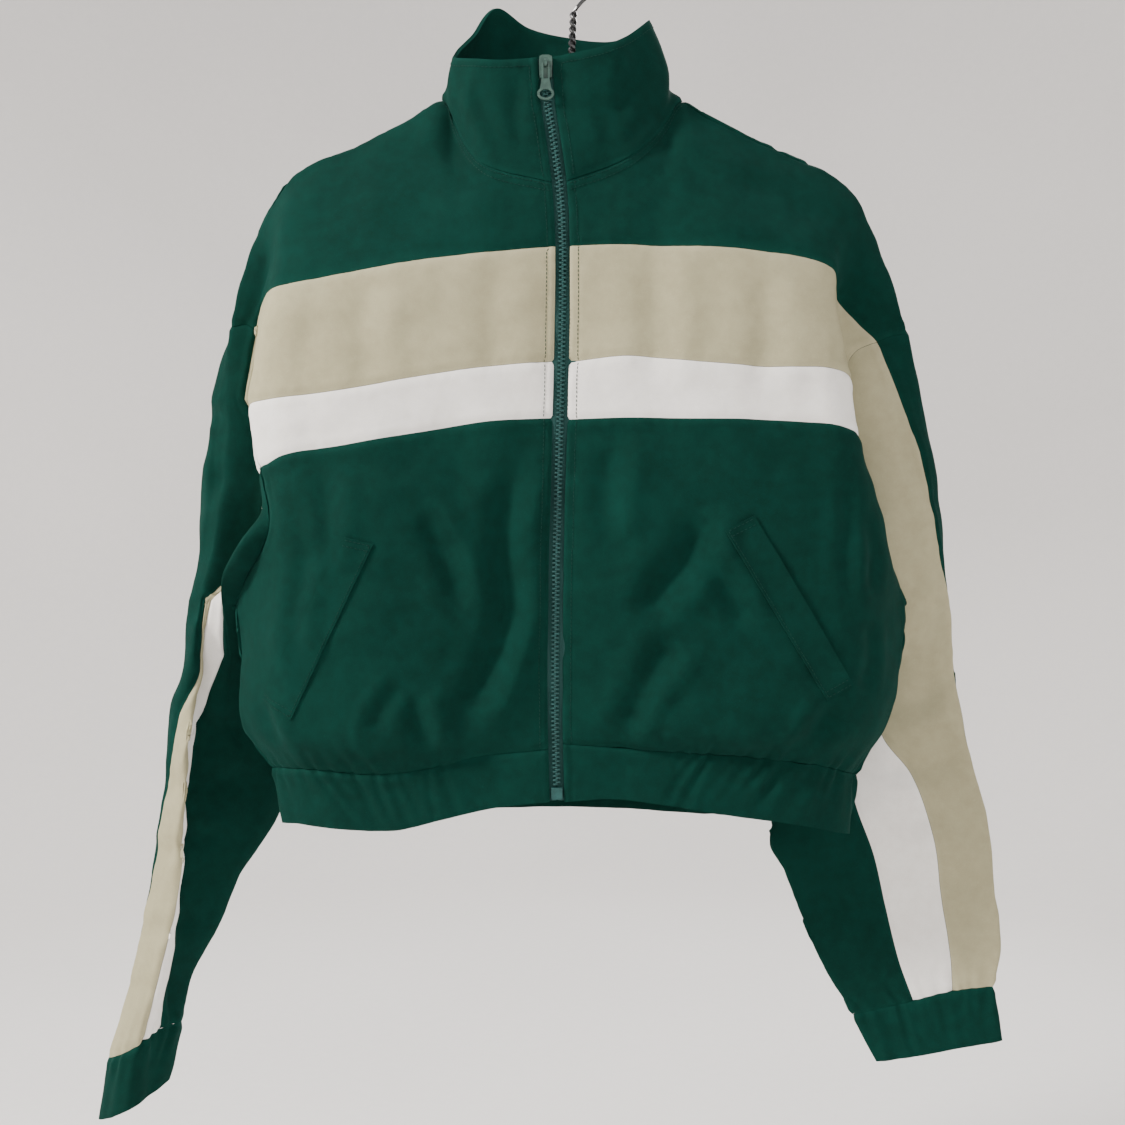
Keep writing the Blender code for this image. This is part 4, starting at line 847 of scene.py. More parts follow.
def fleeceMaterial(kind):
    # fine jersey face of the fleece: V stitches in columns, a short nap and uneven dye
    look = fleeceLook
    dye = look[kind]
    made, shader, root = startMaterial(kind + "_fleece_knit")
    cut = root.node("ShaderNodeUVMap", {"uv_map": "cut"})
    parts = root.node("ShaderNodeSeparateXYZ", {}, {"Vector": cut})
    column = parts / look["stitchWidth"]
    row = parts.part(1) / look["stitchHeight"]
    lean = (column.maths("FRACT") - 0.5).maths("ABSOLUTE")
    leg = lean.sine().maths("ABSOLUTE")
    slant = (row + lean * look["lean"]).sine() * 0.5 + 0.5
    stitch = leg * (slant * 0.7 + 0.3)
    where = place(root)
    nap, mottle, cloud, lint = (speckle(root, where, *look[name])
                                for name in ("nap", "mottle", "cloud", "lint"))
    near = root.node("ShaderNodeAttribute", {"attribute_name": "seamNear"}, output="Fac")
    tone = blend(look["tone"], nap, mottle, cloud).smoothStep(*look["toneSteps"])
    tone = tone + (stitch - 0.5) * look["stitchShare"]
    rub = blend(look["rub"], near, cloud.smoothStep(*look["cloudSteps"]),
                lint.smoothStep(*look["lintSteps"])).maths("MINIMUM", 1.0)
    feed(shader, Base_Color=rub.mixTo(tone.mixTo(dye["deep"], dye["main"]), dye["worn"]),
         Roughness=tone * look["uneven"] + look["roughness"],
         Normal=blend(look["height"], stitch, nap, mottle).bump(*look["bump"]),
         Sheen_Weight=look["sheen"], Sheen_Roughness=look["sheenRoughness"],
         Sheen_Tint=(*dye["sheen"], 1), Specular_IOR_Level=look["specular"])
    return made


# Finishes of two blended noises. "bump" and "roughness" name the noise that makes them, then the
# bump's strength and depth, or the roughness's spread and base.
spun = {"name": "green_thread", "noises": ((2600, 2.0), (90, 2.0)), "shares": (0.6, 0.4),
        "dark": (0.0006, 0.017, 0.012), "light": (0.0030, 0.038, 0.028),
        "bump": (0, 0.4, 0.00008), "roughness": (1, 0.1, 0.7), "specular": 0.2}
moulded = {"name": "zip_teeth_resin", "noises": ((260, 3.0), (1800, 2.0)), "shares": (0.6, 0.4),
           "dark": (0.007, 0.043, 0.040), "light": (0.014, 0.074, 0.069),
           "bump": (1, 0.25, 0.00008), "roughness": (0, 0.18, 0.40), "specular": 0.3}
paper = {"name": "backdrop_paper", "noises": ((1.2, 2.0), (60, 3.0)), "shares": (0.7, 0.3),
         "dark": (0.7178, 0.69355, 0.67415), "light": (0.7622, 0.73645, 0.71585),
         "bump": None, "roughness": (1, 0.1, 0.85), "specular": 0.5}


def mottledMaterial(look):
    made, shader, root = startMaterial(look["name"])
    where = place(root)
    noises = [speckle(root, where, *noise) for noise in look["noises"]]
    tone = blend(look["shares"], *noises).smoothStep(0.3, 0.7)
    noise, spread, base = look["roughness"]
    feed(shader, Base_Color=tone.mixTo(look["dark"], look["light"]),
         Roughness=noises[noise] * spread + base, Specular_IOR_Level=look["specular"])
    if look["bump"]:
        noise, strength, depth = look["bump"]
        feed(shader, Normal=noises[noise].bump(strength, depth))
    return made


tapeLook = {"yarn": 0.00062, "bone": 8.0, "dark": (0.006, 0.036, 0.032),
            "light": (0.014, 0.064, 0.058), "noise": (2200, 2.0), "shares": (0.7, 0.3),
            "bump": (0.6, 0.00018), "uneven": 0.15, "roughness": 0.6, "sheen": 0.03,
            "specular": 0.2}


def tapeMaterial():
    # woven tape: a fine herringbone of polyester yarn
    look = tapeLook
    made, shader, root = startMaterial("zip_tape_weave")
    where = place(root)
    parts = root.node("ShaderNodeSeparateXYZ", {}, {"Vector": where})
    side = parts / look["yarn"]
    rise = parts.part(2) / look["yarn"]
    zig = ((side / look["bone"]).maths("FRACT") - 0.5).maths("ABSOLUTE") * look["bone"]
    weave = (rise + zig).sine() * 0.5 + 0.5
    tone = blend(look["shares"], weave, speckle(root, where, *look["noise"]))
    feed(shader, Base_Color=tone.mixTo(look["dark"], look["light"]),
         Roughness=weave * look["uneven"] + look["roughness"], Normal=tone.bump(*look["bump"]),
         Sheen_Weight=look["sheen"], Specular_IOR_Level=look["specular"])
    return made


enamelLook = {"deep": (0.020, 0.054, 0.043), "paint": (0.038, 0.086, 0.068),
              "metal": (0.20, 0.24, 0.22), "cloud": (190, 3.0), "fleck": (900, 4.0, 0.7),
              "chipSteps": (0.70, 0.78), "bare": 0.7, "metallic": 0.9, "shares": (0.4, 0.6),
              "bump": (0.25, 0.00010), "uneven": 0.22, "roughness": 0.32, "coat": 0.10,
              "coatRoughness": 0.2}


def enamelMaterial():
    # enamelled zinc of slider and pull, rubbed bright in specks
    look = enamelLook
    made, shader, root = startMaterial("zip_enamel")
    where = place(root)
    cloud = speckle(root, where, *look["cloud"])
    fleck = speckle(root, where, *look["fleck"])
    chips = fleck.smoothStep(*look["chipSteps"])
    painted = cloud.smoothStep(0.3, 0.7).mixTo(look["deep"], look["paint"])
    feed(shader, Base_Color=(chips * look["bare"]).mixTo(painted, look["metal"]),
         Roughness=fleck * look["uneven"] + look["roughness"], Metallic=chips * look["metallic"],
         Normal=blend(look["shares"], cloud, fleck).bump(*look["bump"]),
         Coat_Weight=look["coat"], Coat_Roughness=look["coatRoughness"])
    return made


wireLook = {"black": (0.012, 0.012, 0.012), "grey": (0.060, 0.058, 0.055), "stretch": (1, 1, 0.35),
            "long": (420, 4.0, 0.65), "grain": (1500, 2.0), "scuffSteps": (0.58, 0.74),
            "shares": (0.4, 0.6), "bump": (0.3, 0.00012), "uneven": 0.25, "roughness": 0.30,
            "coat": 0.35, "coatRoughness": 0.18}


def wireMaterial():
    # black dipped coating on the wire, with dull scuffs
    look = wireLook
    made, shader, root = startMaterial("hanger_coating")
    long = speckle(root, place(root, look["stretch"]), *look["long"])
    grain = speckle(root, place(root), *look["grain"])
    scuff = long.smoothStep(*look["scuffSteps"])
    feed(shader, Base_Color=scuff.mixTo(look["black"], look["grey"]),
         Roughness=scuff * look["uneven"] + look["roughness"],
         Normal=blend(look["shares"], grain, long).bump(*look["bump"]),
         Coat_Weight=look["coat"], Coat_Roughness=look["coatRoughness"])
    return made


finishes = {kind: fleeceMaterial(kind) for kind in ("green", "sage", "white")}
finishes.update(thread=mottledMaterial(spun), teeth=mottledMaterial(moulded),
                tape=tapeMaterial(), enamel=enamelMaterial(), wire=wireMaterial())
smoothAngle = 50
pieces = {}
print("materials made:", len(finishes))


def addObject(name, data):
    item = bpy.data.objects.new(name, data)
    bpy.context.scene.collection.objects.link(item)
    return item


def selectOnly(*items):
    bpy.ops.object.select_all(action="DESELECT")
    for item in items:
        item.select_set(True)
    bpy.context.view_layer.objects.active = items[0]


def setFinish(item, kind):
    item.data.materials.clear()
    item.data.materials.append(finishes[kind])


def finishObject(item, kind, replaced=None):
    # faces smooth up to an angle, the finish in place, and the piece set on its body
    selectOnly(item)
    bpy.ops.object.shade_smooth_by_angle(angle=math.radians(smoothAngle))
    setFinish(item, kind)
    item.select_set(False)
    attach(item, "garment")
    if replaced:
        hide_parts(replaced)
    pieces[item.name] = item
    return item


def bell(distance, middle, wide):
    return np.exp(-((distance - middle) / wide) ** 2)


def edgeRelief(sheet, points, edges, distances):
    # how the cloth rises and sinks beside its edges, and the distance to the nearest of them
    sunk = np.zeros(points.shape[:2])
    nearest = np.full(points.shape[:2], 99.0)
    ripple = waves(Sheet(points, False, sheet.flip, 0), "edge")
    for edge, distance in zip(edges, distances):
        if edge == "seam":
            sunk -= cloth["seamDip"] * bell(distance, 0, cloth["seamWide"])
            sunk += cloth["allowance"] * bell(distance, cloth["allowanceAt"],
                                              cloth["allowanceWide"])
            sunk += cloth["pucker"] * ripple * np.exp(-distance / cloth["puckerReach"])
            nearest = np.minimum(nearest, distance)
        if edge == "fold":
            sunk -= cloth["foldDip"] * bell(distance, 0, cloth["foldWide"])
            sunk -= cloth["rowDip"] * bell(distance, cloth["rowAt"], cloth["rowWide"])
            beside = np.abs(distance - cloth["rowAt"])
            sunk += cloth["rowPucker"] * ripple * np.exp(-beside / cloth["rowReach"])
            nearest = np.minimum(nearest, distance * 2)
    return sunk, nearest


def meshSheet(name, sheet, points, cut, nearest):
    # one layer of quads with the cut's flat places and the nearness of seams
    count = points.shape
    index = np.arange(count[0] * count[1]).reshape(count[0], count[1])
    quads = np.stack((index[:-1, :-1], index[:-1, 1:], index[1:, 1:], index[1:, :-1]), axis=-1)
    quads = quads.reshape(-1, 4)
    if not sheet.flip:
        quads = quads[:, ::-1]
    mesh = bpy.data.meshes.new(name)
    mesh.from_pydata((points.reshape(-1, 3) * mm).tolist(), [], quads.tolist())
    layer = mesh.uv_layers.new(name="cut")
    corners = np.empty(len(mesh.loops), dtype=np.int32)
    mesh.loops.foreach_get("vertex_index", corners)
    layer.data.foreach_set("uv", cut.reshape(-1, 2)[corners].astype(np.float32).ravel())
    mark = mesh.attributes.new("seamNear", "FLOAT", "POINT")
    mark.data.foreach_set("value",
                          bell(nearest, 0, cloth["rubWide"]).astype(np.float32).ravel())
    return mesh


def sewPiece(name, node, sheet, kind, edges, rows=None, columns=None, closed=False):
    # a window of the sheet, dipped into its seams, with the wall's thickness. edges: what the
    # top, foot, first and last edges are, "seam", "fold" or "free"
    height, width = sheet.grid.shape[:2]
    rows = rows or (0, height - 1)
    columns = columns or (0, width if closed else width - 1)
    picked = np.ix_(range(rows[0], rows[1] + 1),
                    [c % width for c in range(columns[0], columns[1] + 1)])
    points = sheet.grid[picked].copy()
    down = arcs(points, 0)
    across = arcs(points, 1)
    distances = (down, down[-1:] - down, across, across[:, -1:] - across)
    sunk, nearest = edgeRelief(sheet, points, edges, distances)
    points = points + sheet.normals[picked] * sunk[:, :, None]
    gap = cloth["seamGap"] / 2
    for target, inner in ((0, 1), (-1, -2)):
        step = points[inner] - points[target]
        points[target] += step / np.linalg.norm(step, axis=1)[:, None] * gap
        if not closed:
            step = points[:, inner] - points[:, target]
            points[:, target] += step / np.linalg.norm(step, axis=1)[:, None] * gap
    cut = np.stack((sheet.across[picked], -sheet.down[picked]), axis=-1) * mm
    if closed:
        cut[:, -1, 0] = 2 * cut[:, -2, 0] - cut[:, -3, 0]
    mesh = meshSheet(name, sheet, points, cut, nearest)
    item = addObject(name, mesh)
    bpy.context.view_layer.objects.active = item
    if closed:
        build = bmesh.new()
        build.from_mesh(mesh)
        bmesh.ops.remove_doubles(build, verts=build.verts[:], dist=0.02 * mm)
        build.to_mesh(mesh)
        build.free()
    wall = item.modifiers.new("wall", "SOLIDIFY")
    wall.thickness = sheet.thick * mm
    wall.offset = -1
    bpy.ops.object.modifier_apply(modifier="wall")
    finishObject(item, kind, node)
    rising = points[1:, 1:] - points[:-1, :-1]
    falling = points[1:, :-1] - points[:-1, 1:]
    return item


# Creases seen from the front or the back: half width, depth, then places (x, z). A negative
# depth is a soft ridge.
frontCreases = (
    # right half, from the zip's side to the sleeve
    (11, 6.0, ((-36, -386), (-50, -420), (-54, -470), (-52, -505), (-64, -545), (-90, -600))),
    (8, 3.4, ((-122, -566), (-116, -590), (-109, -616))),
    (9, 3.8, ((-116, -428), (-96, -470), (-82, -508))),
    (7, 2.4, ((-152, -600), (-144, -582), (-128, -560))),
    (10, 2.6, ((-190, -400), (-186, -440), (-192, -480))),
    (13, 2.2, ((-60, -236), (-64, -290), (-58, -345))),
    (12, 1.8, ((-150, -250), (-158, -300), (-152, -350))),
    (7, 2.4, ((-240, -576), (-232, -596), (-222, -612))),
    (8, 2.0, ((-210, -420), (-204, -470), (-210, -516), (-202, -560))),
    # left half
    (7, 2.4, ((199, -400), (203, -440), (200, -476), (205, -513))),
    (6, 2.0, ((213, -428), (222, -462), (219, -500))),
    (6, 2.0, ((218, -511), (222, -536), (214, -572))),
    (12, 6.6, ((92, -430), (82, -466), (64, -486), (48, -516))),
    (11, 5.6, ((74, -522), (52, -562), (36, -604))),
    (9, 4.0, ((92, -462), (112, -492), (128, -522))),
    (9, 4.2, ((168, -616), (184, -592), (196, -578))),
    (7, 2.6, ((58, -612), (66, -586), (84, -560))),
    (10, 2.4, ((30, -380), (22, -420), (26, -462))),
    (13, 2.2, ((52, -240), (58, -290), (50, -345))),
    (12, 1.8, ((136, -250), (142, -296), (134, -350))),
)
backCreases = (
    (13, 5.2, ((-96, -330), (-82, -390), (-88, -450), (-70, -520), (-78, -590))),
    (12, 5.6, ((80, -300), (72, -360), (84, -430), (66, -500), (58, -580))),
    (10, 4.2, ((-190, -330), (-168, -370), (-150, -420), (-140, -486), (-118, -548))),
    (10, 4.0, ((188, -330), (160, -376), (140, -430), (132, -500))),
    (9, 3.4, ((-168, -606), (-160, -560), (-170, -500), (-182, -450))),
    (9, 3.2, ((158, -604), (150, -566), (164, -510), (176, -452))),
    (11, 3.4, ((-8, -180), (-14, -240), (-4, -300))),
    (8, 3.0, ((-40, -604), (-34, -570), (-22, -536))),
    (8, 2.8, ((18, -606), (24, -576), (40, -540))),
    (12, -2.4, ((-130, -200), (-120, -260), (-128, -320))),
    (12, -2.4, ((124, -196), (116, -256), (126, -316))),
)
collarCreases = (
    (7, -2.0, ((-87, -112), (-81, -135), (-74, -152), (-66, -168))),
    (5, 1.7, ((-92, -108), (-88, -130), (-80, -150), (-70, -164))),
    (7, 2.6, ((49, -76), (40, -104), (28, -138))),
    (6, 1.5, ((16, -112), (22, -140), (30, -160))),
    (6, 1.4, ((-40, -100), (-46, -130), (-42, -160))),
)
sleeveCreases = {
    "right": (
        (6, 2.2, ((-276, -366), (-288, -352), (-297, -368))),
        (8, 2.6, ((-298, -440), (-290, -420), (-272, -398))),
        (8, 2.2, ((-306, -520), (-296, -500), (-286, -492))),
        (10, 2.8, ((-312, -590), (-294, -606), (-268, -604))),
        (9, 2.6, ((-322, -640), (-300, -652), (-272, -650))),
        (8, 2.2, ((-330, -706), (-310, -694), (-290, -700))),
        (8, 2.2, ((-344, -770), (-326, -760), (-306, -768))),
        (7, 1.4, ((-356, -816), (-340, -806), (-326, -810))),
    ),
    "left": (
        (8, 2.4, ((250, -372), (268, -404), (284, -436))),
        (8, 2.0, ((280, -470), (264, -500), (258, -530))),
        (10, 2.2, ((300, -560), (276, -584), (244, -590))),
        (10, 1.8, ((312, -622), (286, -636), (250, -634))),
        (9, 1.6, ((326, -690), (300, -676), (268, -684))),
        (8, 1.5, ((336, -740), (310, -728), (280, -738))),
        (8, 1.4, ((226, -700), (214, -730), (222, -764))),
        (7, 1.3, ((336, -796), (312, -782), (290, -790))),
    ),
}
# Folds along a gathered seam: spans of lean, width, depth and reach, how uneven their spacing is,
# how they widen and die away from the seam, and the low ridges beside each.
gatherLook = {
    "spans": ((-0.22, 0.22), (1.9, 3.3), (0.35, 1.0), (0.6, 1.35)), "uneven": (0.8, 1.25),
    "spread": 45, "fall": 1.6, "ridge": 0.45, "ridgeAt": 2.1, "rest": 0.25,
    "hem": {"ends": (84, 84), "spacing": (15, 10, 20, 8, 12, 17, 7, 11), "seed": 11,
            "depth": 2.1, "reach": 30, "above": 1.7, "aboveReach": 20},
    "cuff": {"ends": (3, 2), "spacing": (10, 7, 13, 8, 6, 11), "seed": {"right": 21, "left": 22},
             "depth": 1.5, "reach": 24, "above": 1.3, "aboveReach": 20, "meet": 5},
}


def gatherBand(band, look, seed):
    # folds of a gathered band along its upper edge
    across = along(band.grid[0])
    first, last = look["ends"]
    folds = drawGathers(first, across[-1] - last, look["spacing"], seed)
    band.push(look["depth"] * gathered(across[None, :], arcs(band.grid, 0), folds, look["reach"],
                                       gatherLook["rest"]))
    return across, folds


def puckerAbove(sheet, across, folds, look):
    # the same folds run on into the cloth above the seam
    down = arcs(sheet.grid, 0)
    sheet.push(look["above"] * gathered(across[None, :], down[-1:] - down, folds,
                                        look["aboveReach"]))


def gatherHem():
    # the hem band is gathered from the sides to the back, and the cloth above puckers with it
    look = gatherLook["hem"]
    across, folds = gatherBand(sheets["hem"], look, look["seed"])
    side, wide = (sheets[name].grid.shape[1] - 1 for name in ("right", "back"))
    for name, places in (("right", across[:side + 1]), ("back", across[side:side + wide + 1]),
                         ("left", across[side + wide:][::-1])):
        puckerAbove(sheets[name], places, folds, look)


def gatherCuff(side):
    look = gatherLook["cuff"]
    cuff = sheets["cuff_" + side]
    sleeve = sheets["sleeve_" + side]
    across, folds = gatherBand(cuff, look, look["seed"][side])
    puckerAbove(sleeve, across, folds, look)
    # the cuff's upper edge meets the sleeve's end
    step = sleeve.grid[-1] - cuff.grid[0]
    cuff.grid = cuff.grid + step * bell(arcs(cuff.grid, 0), 0, look["meet"])[:, :, None]


sheets = makeSheets()
shareSeams(sheets)
for sheet in sheets.values():
    sheet.grid = sheet.grid + sheet.normals * sheet.thick / 2
toFront = (0, -1, 0)
toBack = (0, 1, 0)
for side in sides:
    relief = creaseRelief(sheets[side], frontCreases, toFront)
    sheets[side].push(relief * creaseLook["front"])
    sleeve = sheets["sleeve_" + side]
    relief = sum(creaseRelief(sleeve, sleeveCreases[side], way) for way in (toFront, toBack))
    sleeve.push(relief * np.clip(arcs(sleeve.grid, 0) / creaseLook["armhole"], 0, 1))
sheets["back"].push(creaseRelief(sheets["back"], backCreases, toBack) * creaseLook["back"])
sheets["collar"].push(creaseRelief(sheets["collar"], collarCreases, toFront))
for name, sheet in sheets.items():
    calm = waveLook["calm"] if "sleeve" in name or "cuff" in name else 1.0
    sheet.push(calm * waves(sheet, "cloth"))
gatherHem()
for side in sides:
    gatherCuff(side)
for name, sheet in sheets.items():
    sheet.measure()
    print("sheet", name, sheet.grid.shape[:2])

# Bands of a front from the top: name, first row, last row, finish. Then strips of a sleeve from
# the front's edge round to the back of the arm.
bands = (("yoke", "shoulder", "green_sage", "green"), ("sage", "green_sage", "sage_white", "sage"),
         ("white", "sage_white", "white_green", "white"), ("lower", "white_green", "hem", "green"))
strips = (("sage", "sage"), ("white", "white"), ("under", "green"), ("top", "green"))
allSeams = ("seam",) * 4
for side in sides:
    for band, top, foot, kind in bands:
        rows = [rowIndex(rightFront, row) * fine["body"] for row in (top, foot)]
        item = sewPiece("%s_front_%s" % (side, band), "front_%s_%s" % (side, band), sheets[side],
                        kind, ("seam", "seam", "fold", "seam"), rows)
sewPiece("back_panel", "back", sheets["back"], "green", allSeams)
sewPiece("stand_collar", "collar", sheets["collar"], "green", ("fold", "seam", "fold", "fold"))
sewPiece("hem_elastic", "hem_band", sheets["hem"], "green", ("seam", "free", "fold", "fold"))
top, sage, white, under, back = (c * fine["body"] for c in sleeveCells())
lines = np.cumsum((0, sage, white, under, back + top)).tolist()
for side in sides:
    for (band, kind), first, last in zip(strips, lines, lines[1:]):
        sewPiece("%s_sleeve_%s" % (side, band), "sleeve_%s_%s" % (side, band),
                 sheets["sleeve_" + side], kind, allSeams,
                 columns=(first, last))
    sewPiece(side + "_cuff", "cuff_" + side, sheets["cuff_" + side], "green",
             ("seam", "free", "none", "none"), closed=True)
print("cloth sewn")

# One stitch, how its rows follow the cloth, and the rows' distances from a folded edge and beside
# a seam.
stitching = {"pitch": 3.1, "long": 2.35, "thick": 0.62, "sink": 0.10, "lift": 1.2, "reach": 0.8,
             "fold": 6.4, "seam": (1.9, 7.4)}


def searchTree(items):
    # finds places on the finished faces of some pieces
    corners = []
    faces = []
    for item in items:
        first = len(corners)
        corners += [item.matrix_world @ vertex.co for vertex in item.data.vertices]
        faces += [[first + v for v in polygon.vertices] for polygon in item.data.polygons]
    return bvhtree.BVHTree.FromPolygons(corners, faces)


def faceDepth(tree, x, z):
    # depth at which a look from the front meets a piece
    found, _, _, _ = tree.ray_cast(Vector((x * mm, -0.2, z * mm)), Vector((0, 1, 0)))
    return None if found is None else found[1] / mm


def joinCopies(name, model, places, kind, replaced=None):
    # one copy of the model at every place, joined to one piece
    copies = []
    for matrix in places:
        item = model.copy()
        item.data = model.data.copy()
        item.matrix_world = matrix
        bpy.context.scene.collection.objects.link(item)
        copies.append(item)
    selectOnly(*copies)
    bpy.ops.object.join()
    joined = bpy.context.view_layer.objects.active
    bpy.ops.object.transform_apply(location=True, rotation=True, scale=True)
    joined.name = name
    joined.data.name = name
    return finishObject(joined, kind, replaced)


def insetLine(sheet, edge, distance, first, last):
    # points a little above the sheet, at a distance from one of its edges
    grid = sheet.grid + sheet.normals * stitching["lift"]
    axis = 0 if edge in ("top", "foot") else 1
    if edge in ("foot", "last"):
        grid = np.flip(grid, axis)
    if axis == 1:
        grid = grid.transpose(1, 0, 2)
    lengths = arcs(grid, 0)
    return np.array([[np.interp(distance, lengths[:, j], grid[:, j, a]) for a in range(3)]
                     for j in range(grid.shape[1])[first:last]])


def trimmed(points, start, stop):
    # the line without its first and last millimetres
    lengths = along(points)
    places = np.linspace(start, lengths[-1] - stop, max(int(lengths[-1]), 3))
    return np.column_stack([np.interp(places, lengths, points[:, a]) for a in range(3)])


def stitchPlaces(points, tree):
    # a frame for each stitch of a row that follows the points over the cloth
    lengths = along(points)
    count = max(int(lengths[-1] / stitching["pitch"]), 1)
    reach = stitching["reach"]
    places = []
    for n in range(count):
        middle = (n + 0.5) * lengths[-1] / count
        spots = []
        for shift in (-reach, reach, 0):
            spot = [np.interp(middle + shift, lengths, points[:, a]) * mm for a in range(3)]
            found, normal, _, _ = tree.find_nearest(Vector(spot))
            spots.append(found)
        run = (spots[1] - spots[0]).normalized()
        side = normal.cross(run).normalized()
        up = run.cross(side)
        centre = spots[2] + up * (stitching["thick"] / 2 - stitching["sink"]) * mm
        places.append(Matrix.Translation(centre) @ Matrix((run, side, up)).transposed().to_4x4())
    return places


def sewRows(items, sheet, rows, first=0, last=None):
    # stitches over some pieces, in rows along the sheet's edges: the edge, the distance from it,
    # and how far from its two ends the row starts and stops
    tree = searchTree(items)
    places = []
    for edge, distance, start, stop in rows:
        line = insetLine(sheet, edge, distance, first, last)
        places += stitchPlaces(trimmed(line, start, stop), tree)
    return places


def makeStitch():
    # one bight of thread, a slim bead
    bpy.ops.object.select_all(action="DESELECT")
    bpy.ops.mesh.primitive_uv_sphere_add(segments=6, ring_count=5, radius=0.5)
    item = bpy.context.view_layer.objects.active
    item.rotation_euler = (0, math.pi / 2, 0)
    item.scale = (stitching["thick"] * mm, stitching["thick"] * mm, stitching["long"] * mm)
    bpy.ops.object.transform_apply(location=True, rotation=True, scale=True)
    return item


stitch = makeStitch()
fold = stitching["fold"]
neck = sum(frontCells[:2]) * fine["body"]
shoulder = sum(frontCells[2:]) * fine["body"]
for side, edge in zip(sides, ("first", "last")):
    fronts = [pieces["%s_front_%s" % (side, band)] for band, *_ in bands]
    places = sewRows([pieces["stand_collar"]], sheets["collar"], [(edge, fold, fold, 2.0)])
    places += sewRows(fronts[:1], sheets[side],
                      [("top", distance, 2.0, 1.0) for distance in stitching["seam"]], 0, neck + 1)
    places += sewRows(fronts, sheets[side], [("first", fold, 1.5, 1.5)])
    joinCopies(side + "_front_stitches", stitch, places, "thread")
places = sewRows([pieces["stand_collar"]], sheets["collar"], [("top", fold, fold, fold)])
joinCopies("collar_edge_stitches", stitch, places, "thread")
places = sewRows([pieces["back_panel"]], sheets["back"],
                 [("top", distance, 1.0, 1.0) for distance in stitching["seam"]],
                 shoulder, -shoulder)
joinCopies("back_neck_stitches", stitch, places, "thread")
print("edges stitched")

# Pocket welts: top and foot of the inner edge, then of the open outer edge, which lifts to "lip"
# over a share "ends" of its length. Stitch rows lie at "inset", and again "second" further in.
weltLook = {"rows": 72, "columns": 14, "thick": 1.3, "low": 1.55, "lip": 2.5, "ends": 0.12,
            "inset": 2.0, "second": 4.5,
            "right": ((-149, -457), (-212, -588), (-171, -452), (-238, -574)),
            "left": ((109, -447), (186, -573), (131, -436), (207, -562))}


def facingSheet(grid, thick):
    # an open sheet whose outer side faces the viewer
    sheet = Sheet(grid, False, True, thick)
    if sheet.normals[:, :, 1].mean() > 0:
        sheet = Sheet(grid, False, False, thick)
    return sheet


def makeWelt(side):
    # folded strip over the pocket slit. Its outer edge stands off, its other edges are sewn down
    tree = searchTree([pieces["%s_front_%s" % (side, band)] for band in ("white", "lower")])
    topIn, footIn, topOut, footOut = (point(p) for p in weltLook[side])
    rows, columns, low = (weltLook[name] for name in ("rows", "columns", "low"))
    grid = np.empty((rows + 1, columns + 1, 3))
    for i in range(rows + 1):
        down = i / rows
        inner = topIn + (footIn - topIn) * down
        outer = topOut + (footOut - topOut) * down
        rise = (weltLook["lip"] - low) * min(min(down, 1 - down) / weltLook["ends"], 1)
        for j in range(columns + 1):
            share = j / columns
            x, z = inner + (outer - inner) * share
            grid[i, j] = (x, faceDepth(tree, x, z) - low - rise * share ** 2, z)
    sheet = facingSheet(grid, weltLook["thick"])
    sheet.push(waves(sheet, "welt"))
    sheet.measure()
    item = sewPiece(side + "_pocket_welt", "pocket_welt_" + side, sheet, "green", ("free",) * 4)
    inset = weltLook["inset"]
    second = inset + weltLook["second"]
    lines = (("first", inset), ("top", inset), ("foot", inset), ("top", second), ("foot", second))
    places = sewRows([item], sheet, [(*line, inset, inset) for line in lines])
    joinCopies(side + "_pocket_stitches", stitch, places, "thread")


for side in sides:
    makeWelt(side)
bpy.data.objects.remove(stitch)
print("pockets finished")

# The cord is a rise of the tape at "cordAt" from the middle. Teeth are "tooth" long, deep and
# high, reach "past" the middle, start "start" below the top and stand "off" the solid row.
zipLook = {"pitch": 3.2, "tooth": (3.5, 2.1, 1.42), "past": 0.75, "start": 0.8, "off": 0.1,
           "bevel": 0.3, "ridge": 0.22, "inset": 0.21, "top": -108.6, "foot": -638.9,
           "tapeStep": 2.0, "tapeNear": 0.35, "tapeHalf": 11.0, "tapeColumns": 12,
           "tapeThick": 0.75, "tapeEnds": 0.4, "cord": 0.35, "cordAt": 3.4, "cordWide": 0.8}


def makeTape(side):
    # woven tape behind the front's edge, with the cord that the teeth clasp
    look = zipLook
    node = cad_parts["zip_tape_" + side]
    tree = searchTree([node])
    sign = -1 if side == "right" else 1
    heights = [(node.matrix_world @ vertex.co)[2] / mm for vertex in node.data.vertices]
    top = max(heights) - look["tapeEnds"]
    foot = min(heights) + look["tapeEnds"]
    count = int((top - foot) / look["tapeStep"])
    reaches = np.linspace(look["tapeNear"], look["tapeHalf"], look["tapeColumns"] + 1)
    grid = np.zeros((count + 1, len(reaches), 3))
    for i in range(count + 1):
        z = top + (foot - top) * i / count
        places = zipMiddle(z)[0] + sign * reaches
        found = [faceDepth(tree, x, z) for x in places]
        hits = [n for n, depth in enumerate(found) if depth is not None]
        # past the solid tape's edges the woven one runs on level
        depths = np.interp(range(len(found)), hits, [found[n] for n in hits])
        grid[i] = np.column_stack((places, depths, np.full(len(found), z)))
    sheet = facingSheet(grid, look["tapeThick"])
    sheet.push(look["cord"] * bell(reaches[None, :], look["cordAt"], look["cordWide"])
               + waves(sheet, "tape"))
    sheet.measure()
    sewPiece(side + "_zip_tape", "zip_tape_" + side, sheet, "tape", ("free",) * 4)


